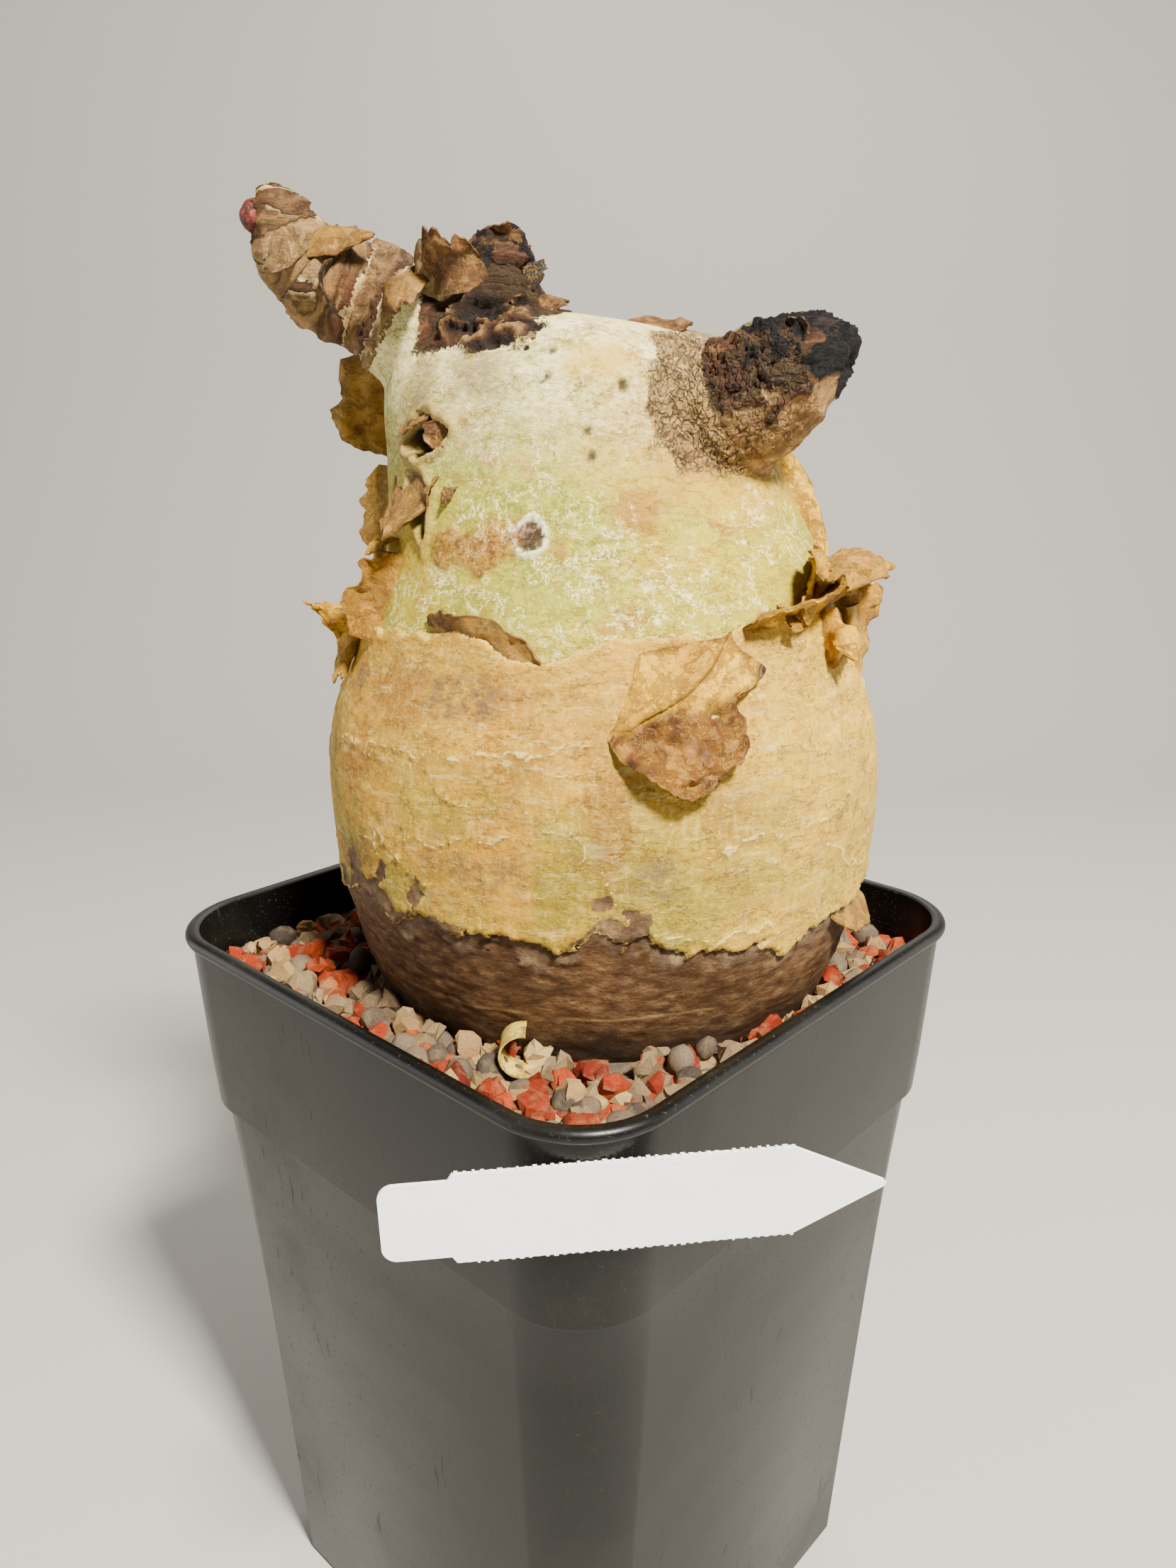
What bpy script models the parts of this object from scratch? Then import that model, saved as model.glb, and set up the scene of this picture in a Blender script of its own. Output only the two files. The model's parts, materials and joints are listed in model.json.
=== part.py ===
"""A potted cyphostemma in its leafless season: a fat pear-shaped caudex with three
cut branch stubs and papery peeling bark, in a deep square plastic pot topped with
gravel, with a blank plastic label on the pot's front corner.

Metres, +Z up. The origin is the centre of the pot's base. One corner of the pot
points to -Y, the side that the plant shows best from."""
import math
import random

import bmesh
import bpy
import numpy as np
from mathutils import Matrix, Vector, noise

# Pot
POT_TOP = 0.200
POT_HEIGHT = 0.266
POT_BASE = 0.1624
POT_TURN = math.radians(47.4)
WALL = 0.003
FLOOR = 0.0035
LIP_DEPTH = 0.0045
LIP_WIDTH = 0.0052
LIP_OVERHANG = 0.0019
STEP_HEIGHT = 0.2025
STEP_OUT = 0.0021
FOOT_ROUND = 0.0015
LIP_ROUND = 0.0013
COLLAR_TAPER = 0.0027
CORNER_TOP = 0.0293
CORNER_BASE = 0.017
CORNER_FLAT = 0.9
CORNER_POINTS = 8
INNER_LEVELS = (0.070, 0.140, STEP_HEIGHT - 0.002, STEP_HEIGHT + 0.002)
DRAIN_WIDTH = 0.015
DRAIN_HEIGHT = 0.006
DRAIN_DEPTH = 0.030

# Soil and gravel
GAP = 0.0003
MIX_TOP = 0.2395
GRAVEL_BED = 0.2472
PEBBLE_RADIUS = (0.0042, 0.0060)
BALL_RADIUS = (0.0042, 0.0052)
PEBBLE_SPACING = 0.79
PEBBLE_TRIES = 9000
PEBBLE_SEED = 7
PEBBLE_WALL_GAP = 0.0012
PEBBLE_UNEVEN = (-0.0004, 0.0012)
BALL_SHARE = 0.16
PLANT_CLEARANCE = 0.0008

# Caudex: height above the pot's base, and radius there
CAUDEX_Y = 0.005
CAUDEX_BOTTOM = 0.195
CAUDEX_TOP = 0.4585
CAUDEX_PROFILE = (
    (0.195, 0.0), (0.1972, 0.020), (0.208, 0.046), (0.224, 0.063), (0.251, 0.0770),
    (0.2787, 0.0853), (0.3135, 0.0884), (0.3375, 0.0862), (0.352, 0.0810),
    (0.3855, 0.0684), (0.415, 0.0600), (0.433, 0.0585), (0.4435, 0.0545),
    (0.4515, 0.0440), (0.4565, 0.0270), (0.4585, 0.0),
)
CAUDEX_CENTRE_X = ((0.195, 0.011), (0.385, 0.0105), (0.400, 0.0075), (0.415, 0.0045), (0.4585, 0.0))
BELLY_DEPTH = 0.93
SHOULDER_DEPTH = 0.68
SHOULDER_FROM = 0.370
SHOULDER_FULL = 0.452
CROWN_SLOPE = 0.10
CROWN_FROM = 0.436

# The tan outer bark covers the belly between two torn edges. Each tear is a place
# in degrees, a rise and a width in degrees
BARK_THICKNESS = 0.0009
BARK_TOP = 0.368
BARK_BOTTOM = 0.287
TOP_TEARS = ((-32, 0.0060, 8), (-13, -0.0030, 6), (30, 0.0020, 8))
BOTTOM_TEARS = ((-60, 0.0060, 9), (-38, 0.0070, 5), (-2, 0.0060, 4), (40, -0.0080, 4), (62, 0.003, 8))

# Branch stubs: centre line points with the radius at each
LEFT_BRANCH = (
    ((-0.028, 0.008, 0.440), 0.0250), ((-0.044, 0.006, 0.4525), 0.0195),
    ((-0.058, 0.004, 0.4612), 0.0160), ((-0.0715, 0.001, 0.4668), 0.0142),
    ((-0.0790, -0.001, 0.4735), 0.0122), ((-0.0815, -0.002, 0.4800), 0.0100),
    ((-0.0800, -0.003, 0.4855), 0.0088), ((-0.0785, -0.003, 0.4885), 0.0055),
)
MIDDLE_STUB = (
    ((-0.024, 0.004, 0.438), 0.0260), ((-0.0225, 0.000, 0.4535), 0.0200),
    ((-0.0200, -0.002, 0.4640), 0.0148), ((-0.0170, -0.003, 0.4715), 0.0118),
    ((-0.0152, -0.003, 0.4765), 0.0088), ((-0.0150, -0.003, 0.4795), 0.0040),
)
RIGHT_STUB = (
    ((0.026, -0.004, 0.421), 0.0260), ((0.0430, -0.016, 0.4300), 0.0222),
    ((0.0525, -0.020, 0.4345), 0.0198), ((0.0610, -0.023, 0.4390), 0.0165),
    ((0.0690, -0.026, 0.4415), 0.0138), ((0.0735, -0.027, 0.4415), 0.0120),
    ((0.0765, -0.028, 0.4408), 0.0080),
)
BUD_PLACE = (-0.0885, -0.0060, 0.4825)
BUD_RADIUS = 0.0038
BODY_RINGS = 48
CAUDEX_VOXEL = 0.0022
CAUDEX_SMOOTHING = 5
CAUDEX_TRIANGLES = 4560
GNARL = 0.0014
GNARL_SCALE = 160.0

# Peeling bark
PEEL_THICKNESS = 0.0008
PEEL_SINK = 0.0022
PEEL_WAVE = 0.0009
RAGGED = 0.10
FLAP_STANDOFF = 0.0078
FLAP_SINK = 0.0016

# A fallen curl of bark on the gravel
PEEL_SPOT = (-0.0085, -0.0730)
PEEL_ROOM = 0.0085
FALLEN_WIDTH = 0.007
FALLEN_STEP = 0.0019
FALLEN_TURN = math.radians(17)

# Label
LABEL_LENGTH = 0.125
LABEL_WIDTH = 0.025
LABEL_THICKNESS = 0.001
LABEL_POINT = 0.024
LABEL_NECK = 0.004
LABEL_HEAD = 0.018
LABEL_Z = 0.2425
LABEL_YAW = math.radians(5.4)
LABEL_ROLL = math.radians(1.8)
LABEL_SHIFT = 0.0118

COLOURS = {
    "pot": ((0.070, 0.068, 0.060), 0.45),
    "potting_mix": ((0.060, 0.040, 0.028), 0.95),
    "top_gravel": ((0.40, 0.22, 0.14), 0.90),
    "caudex": ((0.48, 0.38, 0.20), 0.75),
    "fallen_peel": ((0.62, 0.45, 0.25), 0.80),
    "plant_label": ((0.90, 0.90, 0.88), 0.40),
}


def clear_scene():
    for old in list(bpy.data.objects):
        bpy.data.objects.remove(old, do_unlink=True)


def finish_object(name, mesh):
    """Link a mesh as the named sub-part with its own material."""
    colour, roughness = COLOURS[name]
    material = bpy.data.materials.new(name)
    material.use_nodes = True
    shader = material.node_tree.nodes["Principled BSDF"]
    shader.inputs["Base Color"].default_value = (*colour, 1.0)
    shader.inputs["Roughness"].default_value = roughness
    mesh.materials.clear()
    mesh.materials.append(material)
    obj = bpy.data.objects.new(name, mesh)
    bpy.context.collection.objects.link(obj)
    return obj


def scratch_object(name, mesh):
    """A helper object for a cut, a union or a modifier; it is removed afterwards."""
    obj = bpy.data.objects.new(name, mesh)
    bpy.context.collection.objects.link(obj)
    obj.hide_render = True
    obj.display_type = "WIRE"
    return obj


def evaluated_mesh(obj):
    """The object's mesh with its modifiers applied; the object is removed."""
    graph = bpy.context.evaluated_depsgraph_get()
    mesh = bpy.data.meshes.new_from_object(obj.evaluated_get(graph))
    bpy.data.objects.remove(obj, do_unlink=True)
    return mesh


def mesh_from(points, faces, name):
    mesh = bpy.data.meshes.new(name)
    mesh.from_pydata([tuple(p) for p in points], [], faces)
    return mesh


def loft(rings, name):
    """Closed solid through rings of equal length, each counter-clockwise from above,
    with its two end rings capped. A wall's triangles lie alike on its inner and outer
    face: each diagonal runs from the lower ring to the next point of the upper one."""
    count = len(rings[0])
    points = [p for ring in rings for p in ring]
    faces = []
    for k in range(len(rings) - 1):
        low = k * count
        high = low + count
        rising = rings[k + 1][0][2] >= rings[k][0][2]
        for i in range(count):
            j = (i + 1) % count
            if rising:
                faces += [(low + i, low + j, high + j), (low + i, high + j, high + i)]
            else:
                faces += [(low + i, low + j, high + i), (low + j, high + j, high + i)]
    faces.append(tuple(reversed(range(count))))
    faces.append(tuple(range((len(rings) - 1) * count, len(rings) * count)))
    return mesh_from(points, faces, name)


def boolean(target_mesh, tools, operation, solver="EXACT"):
    """Apply one Boolean of a list of meshes on a mesh; the helpers are removed."""
    target = scratch_object("target", target_mesh)
    group = bpy.data.collections.new("tools")
    bpy.context.scene.collection.children.link(group)
    helpers = []
    for k, tool in enumerate(tools):
        helper = bpy.data.objects.new(f"tool_{k}", tool)
        helper.hide_render = True
        helper.display_type = "WIRE"
        group.objects.link(helper)
        helpers.append(helper)
    modifier = target.modifiers.new("boolean", "BOOLEAN")
    modifier.operation = operation
    modifier.solver = solver
    modifier.operand_type = "COLLECTION"
    modifier.collection = group
    result = evaluated_mesh(target)
    for helper in helpers:
        bpy.data.objects.remove(helper, do_unlink=True)
    bpy.data.collections.remove(group)
    return result


def smooth_curve(stations, value, column):
    """A smooth curve through stations (x, y...), read at one x."""
    xs = [s[0] for s in stations]
    ys = [s[column] for s in stations]
    k = min(max(int(np.searchsorted(xs, value)) - 1, 0), len(xs) - 2)
    span = xs[k + 1] - xs[k]
    t = min(max((value - xs[k]) / span, 0.0), 1.0)
    before = (ys[k + 1] - ys[k - 1]) / (xs[k + 1] - xs[k - 1]) if k else (ys[1] - ys[0]) / span
    last = k + 2 >= len(xs)
    after = (ys[k + 1] - ys[k]) / span if last else (ys[k + 2] - ys[k]) / (xs[k + 2] - xs[k])
    h00 = 2 * t**3 - 3 * t**2 + 1
    h10 = t**3 - 2 * t**2 + t
    h01 = 3 * t**2 - 2 * t**3
    h11 = t**3 - t**2
    return h00 * ys[k] + h10 * span * before + h01 * ys[k + 1] + h11 * span * after


# Pot

def square_ring(half, radius, flat, height):
    """A rounded square, its corners flattened towards straight cuts by flat."""
    ring = []
    for corner in range(4):
        start = corner * math.pi / 2
        sign_x, sign_y = ((1, 1), (-1, 1), (-1, -1), (1, -1))[corner]
        middle = Vector((sign_x * (half - radius), sign_y * (half - radius)))
        ends = []
        for angle in (start, start + math.pi / 2):
            ends.append(middle + radius * Vector((math.cos(angle), math.sin(angle))))
        for i in range(CORNER_POINTS):
            share = i / (CORNER_POINTS - 1)
            angle = start + share * math.pi / 2
            arc = middle + radius * Vector((math.cos(angle), math.sin(angle)))
            point = arc.lerp(ends[0].lerp(ends[1], share), flat)
            ring.append((point.x, point.y, height))
    turn = Matrix.Rotation(POT_TURN, 3, "Z")
    return [tuple(turn @ Vector(p)) for p in ring]


def body_section(height, inset=0.0):
    """Half side, corner radius and corner flattening of the tapered lower body."""
    share = height / STEP_HEIGHT
    top_half = POT_TOP / 2 - LIP_OVERHANG - COLLAR_TAPER - STEP_OUT
    half = POT_BASE / 2 + share * (top_half - POT_BASE / 2) - inset
    radius = CORNER_BASE + share * (CORNER_TOP - STEP_OUT - CORNER_BASE) - inset
    return half, radius, CORNER_FLAT * (1 - share) ** 0.7


def collar_section(height, inset=0.0):
    """Half side, corner radius and flattening of the collar above the step."""
    share = (POT_HEIGHT - height) / (POT_HEIGHT - STEP_HEIGHT)
    half = POT_TOP / 2 - LIP_OVERHANG - COLLAR_TAPER * share - inset
    return half, CORNER_TOP - LIP_OVERHANG - inset, 0.0


def inner_rings(inset, levels):
    """Rings of the pot's inside, moved in by inset, at the levels given."""
    rings = []
    for height in levels:
        section = collar_section if height > STEP_HEIGHT else body_section
        rings.append(square_ring(*section(height, WALL + inset), height))
    return rings


def build_pot():
    lip_low = POT_HEIGHT - LIP_DEPTH
    rounding = LIP_ROUND
    half = POT_TOP / 2
    rings = [
        square_ring(*body_section(0.0, FOOT_ROUND), 0.0),
        square_ring(*body_section(FOOT_ROUND), FOOT_ROUND),
        square_ring(*body_section(STEP_HEIGHT / 2), STEP_HEIGHT / 2),
        square_ring(*body_section(STEP_HEIGHT - 0.001), STEP_HEIGHT - 0.001),
        square_ring(*collar_section(STEP_HEIGHT + 0.001), STEP_HEIGHT + 0.001),
        square_ring(*collar_section(lip_low), lip_low),
        square_ring(half, CORNER_TOP, 0.0, lip_low + 0.0004),
        square_ring(half, CORNER_TOP, 0.0, POT_HEIGHT - rounding),
        square_ring(half - rounding, CORNER_TOP - rounding, 0.0, POT_HEIGHT),
        square_ring(half - LIP_WIDTH + rounding, CORNER_TOP - LIP_WIDTH + rounding, 0.0, POT_HEIGHT),
        square_ring(half - LIP_WIDTH, CORNER_TOP - LIP_WIDTH, 0.0, POT_HEIGHT - rounding),
    ]
    rings += inner_rings(0.0, (lip_low, *reversed(INNER_LEVELS), FLOOR))
    pot = loft(rings, "pot")
    slots = []
    for k in range(4):
        cutter = bmesh.new()
        bmesh.ops.create_cube(cutter, size=1.0)
        size = Matrix.Diagonal((DRAIN_DEPTH, DRAIN_WIDTH, 2 * DRAIN_HEIGHT, 1.0))
        corner = Matrix.Translation((POT_BASE / 2 * math.sqrt(2) - CORNER_BASE / 2, 0.0, 0.0))
        turn = Matrix.Rotation(POT_TURN + math.pi / 4 + k * math.pi / 2, 4, "Z")
        cutter.transform(turn @ corner @ size)
        mesh = bpy.data.meshes.new("drain")
        cutter.to_mesh(mesh)
        cutter.free()
        slots.append(mesh)
    pot = boolean(pot, slots, "DIFFERENCE")
    finish_object("pot", pot)


# Caudex

def caudex_radius(height):
    return max(smooth_curve(CAUDEX_PROFILE, height, 1), 0.0)


def smoothstep(value, low, high):
    t = min(max((value - low) / (high - low), 0.0), 1.0)
    return t * t * (3 - 2 * t)


def depth_share(height):
    """The caudex's depth as a share of its width; the shoulders are flatter."""
    return BELLY_DEPTH - (BELLY_DEPTH - SHOULDER_DEPTH) * smoothstep(height, SHOULDER_FROM, SHOULDER_FULL)


def torn(angle, tears):
    """Peaks and dips of a torn edge at one angle."""
    turned = math.degrees(angle)
    turned -= 360 * round(turned / 360)
    return sum(rise * math.exp(-(((turned - place) / width) ** 2)) for place, rise, width in tears)


def bark_top(angle):
    """Height of the outer bark's torn upper edge round the caudex."""
    wave = 0.0035 * math.sin(2 * angle + 0.6) + 0.0016 * math.sin(7 * angle + 1.0)
    return BARK_TOP + wave + 0.006 * math.sin(angle) ** 2 + torn(angle, TOP_TEARS)


def bark_bottom(angle):
    """Height of the outer bark's torn lower edge round the caudex."""
    wave = 0.0025 * math.sin(3 * angle + 2.2) + 0.0012 * math.sin(11 * angle)
    return BARK_BOTTOM + wave + torn(angle, BOTTOM_TEARS)


def body_point(angle, height, lift=0.0):
    """A point on the body inside the bark; angle 0 faces -Y and turns towards +X. The
    crown slopes down to the right."""
    radius = caudex_radius(height) + lift
    x = smooth_curve(CAUDEX_CENTRE_X, height, 1) + radius * math.sin(angle)
    y = CAUDEX_Y - radius * depth_share(height) * math.cos(angle)
    drop = CROWN_SLOPE * min(max(x, 0.0), 0.05) * smoothstep(height, CROWN_FROM, CAUDEX_TOP)
    return Vector((x, y, height - drop))


def skin_point(angle, height, lift=0.0):
    """A point on the caudex, with the layer of bark where the bark is."""
    if bark_bottom(angle) < height < bark_top(angle):
        lift += BARK_THICKNESS
    return body_point(angle, height, lift)


def skin_normal(angle, height):
    across = body_point(angle + 0.02, height) - body_point(angle - 0.02, height)
    upward = body_point(angle, height + 0.001) - body_point(angle, height - 0.001)
    return across.cross(upward).normalized()


def body_loft(lift=0.0, segments=72, top=CAUDEX_TOP):
    """The pear-shaped body as a stack of rings, swollen by lift. The rings are
    closest together at its two ends."""
    rings = []
    levels = []
    for k in range(1, BODY_RINGS):
        share = (1 - math.cos(math.pi * k / BODY_RINGS)) / 2
        levels.append(CAUDEX_BOTTOM + share * (CAUDEX_TOP - CAUDEX_BOTTOM))
    levels = [height for height in levels if height < top]
    for height in levels:
        ring = []
        for i in range(segments):
            angle = 2 * math.pi * i / segments
            ring.append(skin_point(angle, height, lift))
        rings.append(ring)
    rings[0] = [p - Vector((0, 0, lift)) for p in rings[0]]
    return loft(rings, "body")


def tube_loft(stations, segments=22, between=4):
    """A round branch along its stations, with rounded ends."""
    rows = []
    for k in range(len(stations) - 1):
        for i in range(between):
            t = i / between
            a = Vector(stations[k][0])
            b = Vector(stations[k + 1][0])
            rows.append((a.lerp(b, t), stations[k][1] * (1 - t) + stations[k + 1][1] * t))
    rows.append((Vector(stations[-1][0]), stations[-1][1]))
    side = Vector((0, 1, 0))
    rings = []
    for k, (centre, radius) in enumerate(rows):
        ahead = rows[min(k + 1, len(rows) - 1)][0] - rows[max(k - 1, 0)][0]
        axis = ahead.normalized()
        u = (side - axis * side.dot(axis)).normalized()
        v = axis.cross(u)
        ring = []
        for i in range(segments):
            a = 2 * math.pi * i / segments
            ring.append(centre + radius * (math.cos(a) * u + math.sin(a) * v))
        rings.append(ring)
    return loft(rings, "branch")


def gnarled(mesh):
    """Roughen the stubs with ridged noise, leaving the smooth body alone."""
    axes = []
    for stations in (LEFT_BRANCH, MIDDLE_STUB, RIGHT_STUB):
        for place, radius in stations[2:]:
            axes.append((Vector(place), radius))
    for vertex in mesh.vertices:
        near = min((vertex.co - place).length - radius for place, radius in axes)
        strength = 1.0 - min(max(near / 0.005, 0.0), 1.0)
        if strength > 0.0:
            ridge = 1.0 - 2.0 * abs(noise.noise(vertex.co * GNARL_SCALE))
            vertex.co += vertex.normal * GNARL * strength * (ridge - 0.4)


def sheet(rows, name):
    """A thin closed sheet on a grid of points, cut into triangles alike on both faces."""
    grid = np.array([[tuple(p) for p in row] for row in rows])
    along = np.gradient(grid, axis=0)
    across = np.gradient(grid, axis=1)
    normal = np.cross(along, across)
    normal /= np.linalg.norm(normal, axis=2, keepdims=True)
    m, n = grid.shape[:2]
    top = (grid + normal * PEEL_THICKNESS / 2).reshape(-1, 3)
    under = (grid - normal * PEEL_THICKNESS / 2).reshape(-1, 3)
    points = np.concatenate([top, under])
    other = m * n
    faces = []
    for i in range(m - 1):
        for j in range(n - 1):
            a, b = i * n + j, i * n + j + 1
            c, d = a + n, b + n
            for tri in ((a, c, d), (a, d, b)):
                faces.append(tri)
                faces.append(tuple(other + q for q in reversed(tri)))
    rim = [(0, j) for j in range(n)] + [(i, n - 1) for i in range(1, m)]
    rim += [(m - 1, j) for j in range(n - 2, -1, -1)] + [(i, 0) for i in range(m - 2, 0, -1)]
    for k, (i, j) in enumerate(rim):
        ii, jj = rim[(k + 1) % len(rim)]
        a, b = i * n + j, ii * n + jj
        faces.append((a, b, other + b))
        faces.append((a, other + b, other + a))
    mesh = mesh_from(points, faces, name)
    tidy = bmesh.new()
    tidy.from_mesh(mesh)
    bmesh.ops.recalc_face_normals(tidy, faces=tidy.faces)
    tidy.to_mesh(mesh)
    tidy.free()
    return mesh


def torn_reach(length, taper, u, phase):
    """Length of a sheet at a share u of its width; its free edge is wavy."""
    wavy = 0.6 * math.sin(5.0 * u + phase) + 0.4 * math.sin(11.0 * u + 2.0 * phase)
    return length * (1.0 - taper * abs(2 * u - 1) ** 2.2) * (1.0 + RAGGED * wavy)


def grown_line(point, forward, normal, reach, lift, curl, rows):
    """Points that leave a root point at the angle lift and bend by curl to their tip."""
    line = [point.copy()]
    for j in range(1, rows + 1):
        tilt = math.radians(lift + curl * j / rows)
        point = point + reach / rows * (forward * math.cos(tilt) + normal * math.sin(tilt))
        line.append(point.copy())
    return line


def peel(name, start, end, grow, length, lift, curl, taper=0.5, rows=6, columns=6, phase=0.0):
    """A strip of bark rooted in the caudex between two (angle degrees, height) places.
    It leaves along grow at the angle lift and bends by curl degrees towards its tip.
    A grow of 1 or -1 is round the caudex, with or against the turn of the angle."""
    lines = []
    for i in range(columns + 1):
        u = i / columns
        angle = math.radians(start[0] + u * (end[0] - start[0]))
        height = start[1] + u * (end[1] - start[1])
        normal = skin_normal(angle, height)
        if grow in (1, -1):
            forward = grow * Vector((math.cos(angle), math.sin(angle), 0.0))
        else:
            forward = Vector(grow)
        forward = (forward - normal * forward.dot(normal)).normalized()
        reach = torn_reach(length, taper, u, phase) + PEEL_SINK
        line = grown_line(body_point(angle, height, -PEEL_SINK), forward, normal, reach, lift, curl, rows)
        wave = PEEL_WAVE * math.sin(phase + 9.0 * u)
        lines.append([p + normal * wave * j / rows for j, p in enumerate(line)])
    return sheet(lines, name)


def flake(name, root, width, grow, up, length, lift, curl, taper=0.7, cup=1.5, rows=4, columns=4):
    """A flake of bark rooted at a point of a stub, width across and length along grow."""
    forward = Vector(grow).normalized()
    normal = Vector(up)
    normal = (normal - forward * normal.dot(forward)).normalized()
    side = forward.cross(normal)
    lines = []
    for i in range(columns + 1):
        u = i / columns
        across = u - 0.5
        point = Vector(root) + side * width * across - normal * cup * width * across**2
        reach = torn_reach(length, taper, u, 0.0)
        lines.append(grown_line(point, forward, normal, reach, lift, curl, rows))
    return sheet(lines, name)


def front_flap(rows=10, columns=9):
    """The big flap on the belly. Its upper left is rooted in the bark, a crease runs
    across it, and beyond the crease it hangs free."""
    lines = []
    for i in range(columns + 1):
        u = i / columns
        low_angle, high_angle = 25.0 * u, 5.0 + 23.5 * u
        low_height = 0.3478 - 0.0178 * math.sin(math.pi * 0.78 * u) + 0.0068 * u
        high_height = 0.3672 + 0.0065 * u**0.7
        line = []
        for j in range(rows + 1):
            v = j / rows
            corner = 4.5 * math.exp(-(((v - 0.66) / 0.14) ** 2)) * smoothstep(u, 0.4, 1.0)
            notch = 1.8 * math.exp(-(((v - 0.42) / 0.11) ** 2)) * smoothstep(u, 0.4, 1.0)
            angle = low_angle + (high_angle - low_angle) * v + corner - notch + 10 * v * (1 - v) * u
            height = low_height + (high_height - low_height) * v
            over = v - (0.04 + 0.98 * u**0.62)
            free = 1.15 * u + 0.55 * (1 - v) - 0.12
            lift = FLAP_STANDOFF * smoothstep(free, 0.0, 0.85) - FLAP_SINK
            lift += 0.0021 * math.exp(-(((over - 0.10) / 0.13) ** 2)) * smoothstep(u, 0.0, 0.25)
            lift -= 0.0012 * smoothstep(-over, 0.0, 0.08)
            lift += 0.0022 * smoothstep(1 - v, 0.75, 1.0) * smoothstep(u, 0.0, 0.3)
            line.append(body_point(math.radians(angle), height, lift))
        lines.append(line)
    return sheet(lines, "front_flap")


def bark_peels():
    """Every peeling piece of bark, each rooted in the caudex or a stub."""
    up, down = (0, 0, 1), (0, 0, -1)
    return [
        front_flap(),
        peel("right_collar", (30.5, 0.3665), (66, 0.3690), up, 0.0150, 12, 74, 0.35, columns=8, phase=1.0),
        peel("right_scroll", (56, 0.3790), (94, 0.3800), up, 0.0230, 34, 125, 0.30, rows=8, columns=8),
        peel("right_blade", (84, 0.3830), (86, 0.3610), 1, 0.0190, 66, -30, 0.4, phase=2.0),
        flake("right_tatter", (0.0855, -0.0120, 0.3730), 0.0080, (0.12, -0.10, -1), (-0.2, -1, 0),
              0.0270, 6, 10, 0.15, 0.4),
        peel("right_strip", (87, 0.4220), (84, 0.3840), 1, 0.0110, 56, 10, 0.75, phase=0.5),
        peel("left_upper_peel", (-112, 0.4470), (-104, 0.4150), 1, 0.0260, 34, 62, 0.75, rows=8,
             columns=7, phase=0.5),
        peel("left_strip", (-86, 0.4140), (-84, 0.3860), -1, 0.0110, 58, 12, 0.6),
        peel("left_scrap", (-60, 0.3905), (-64, 0.3670), -1, 0.0170, 26, 100, 0.4, rows=7, phase=3.0),
        peel("left_curl", (-66, 0.3925), (-86, 0.3880), up, 0.0110, 34, 110, 0.5, phase=2.0),
        peel("left_wing", (-80, 0.3760), (-78, 0.3650), -1, 0.0150, 76, -16, 0.8, columns=4),
        flake("left_tatter", (-0.0625, -0.0150, 0.3700), 0.0075, (-0.45, -0.10, -1), (0.2, -1, 0),
              0.0210, 8, 12, 0.4, 0.6),
        peel("torn_lip", (-42, 0.3655), (-13, 0.3570), up, 0.0130, 9, 24, 0.55, rows=4, phase=1.5),
        peel("low_scrap", (52, 0.2890), (76, 0.2860), down, 0.0110, 24, 30, 0.6, rows=4),
        flake("tip_bract", (-0.0800, -0.0100, 0.4800), 0.016, (-0.10, -0.30, -0.9), (-0.3, -0.9, 0.1),
              0.0145, 20, -14),
        flake("tip_brim", (-0.0780, -0.0060, 0.4770), 0.012, (1.0, -0.25, -0.06), (0.0, -0.5, 1.0),
              0.0220, 12, -10, 0.4),
        flake("crown_leaf_left", (-0.0475, -0.0150, 0.4660), 0.016, (0.25, -0.50, -0.85),
              (-0.2, -0.9, 0.4), 0.0125, 24, -20, 0.9),
        flake("crown_leaf_right", (-0.0320, -0.0165, 0.4610), 0.024, (-0.1, -0.20, 0.95),
              (-0.3, -0.9, -0.2), 0.0160, 4, 22, 0.45, columns=6),
        flake("crown_leaf_back", (-0.0420, -0.0110, 0.4620), 0.015, (0.35, 0.0, 0.95),
              (-0.5, -0.8, 0.1), 0.0140, 6, 20, 0.6),
        flake("ridge_flake", (0.0190, 0.0120, 0.4520), 0.013, (1.0, 0.0, -0.20), up, 0.0200, 20, -22),
        flake("stub_flake", (0.0600, -0.0160, 0.4535), 0.014, (-1.0, 0.15, 0.0), (0.0, -0.1, 1.0),
              0.0210, 26, -62, 0.6, columns=5),
    ]


def build_caudex():
    """Body and stubs are one grown piece: lofts merged and smoothed, bark peels fused."""
    parts = bmesh.new()
    for mesh in (body_loft(), tube_loft(LEFT_BRANCH), tube_loft(MIDDLE_STUB), tube_loft(RIGHT_STUB)):
        parts.from_mesh(mesh)
    merged = bpy.data.meshes.new("merged")
    parts.to_mesh(merged)
    parts.free()
    form = scratch_object("form", merged)
    remesh = form.modifiers.new("merge", "REMESH")
    remesh.mode = "VOXEL"
    remesh.voxel_size = CAUDEX_VOXEL
    blend = form.modifiers.new("blend", "SMOOTH")
    blend.factor = 0.5
    blend.iterations = CAUDEX_SMOOTHING
    merged = evaluated_mesh(form)
    gnarled(merged)
    form = scratch_object("form", merged)
    reduce = form.modifiers.new("reduce", "DECIMATE")
    reduce.ratio = CAUDEX_TRIANGLES / (2 * len(merged.polygons))
    split = form.modifiers.new("split", "TRIANGULATE")
    split.quad_method = "BEAUTY"
    merged = evaluated_mesh(form)
    bud = bmesh.new()
    bmesh.ops.create_icosphere(bud, subdivisions=2, radius=BUD_RADIUS,
                               matrix=Matrix.Translation(BUD_PLACE))
    bud_mesh = bpy.data.meshes.new("bud")
    bud.to_mesh(bud_mesh)
    bud.free()
    caudex = boolean(merged, bark_peels() + [bud_mesh], "UNION")
    finish_object("caudex", caudex)


# Soil and gravel

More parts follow.
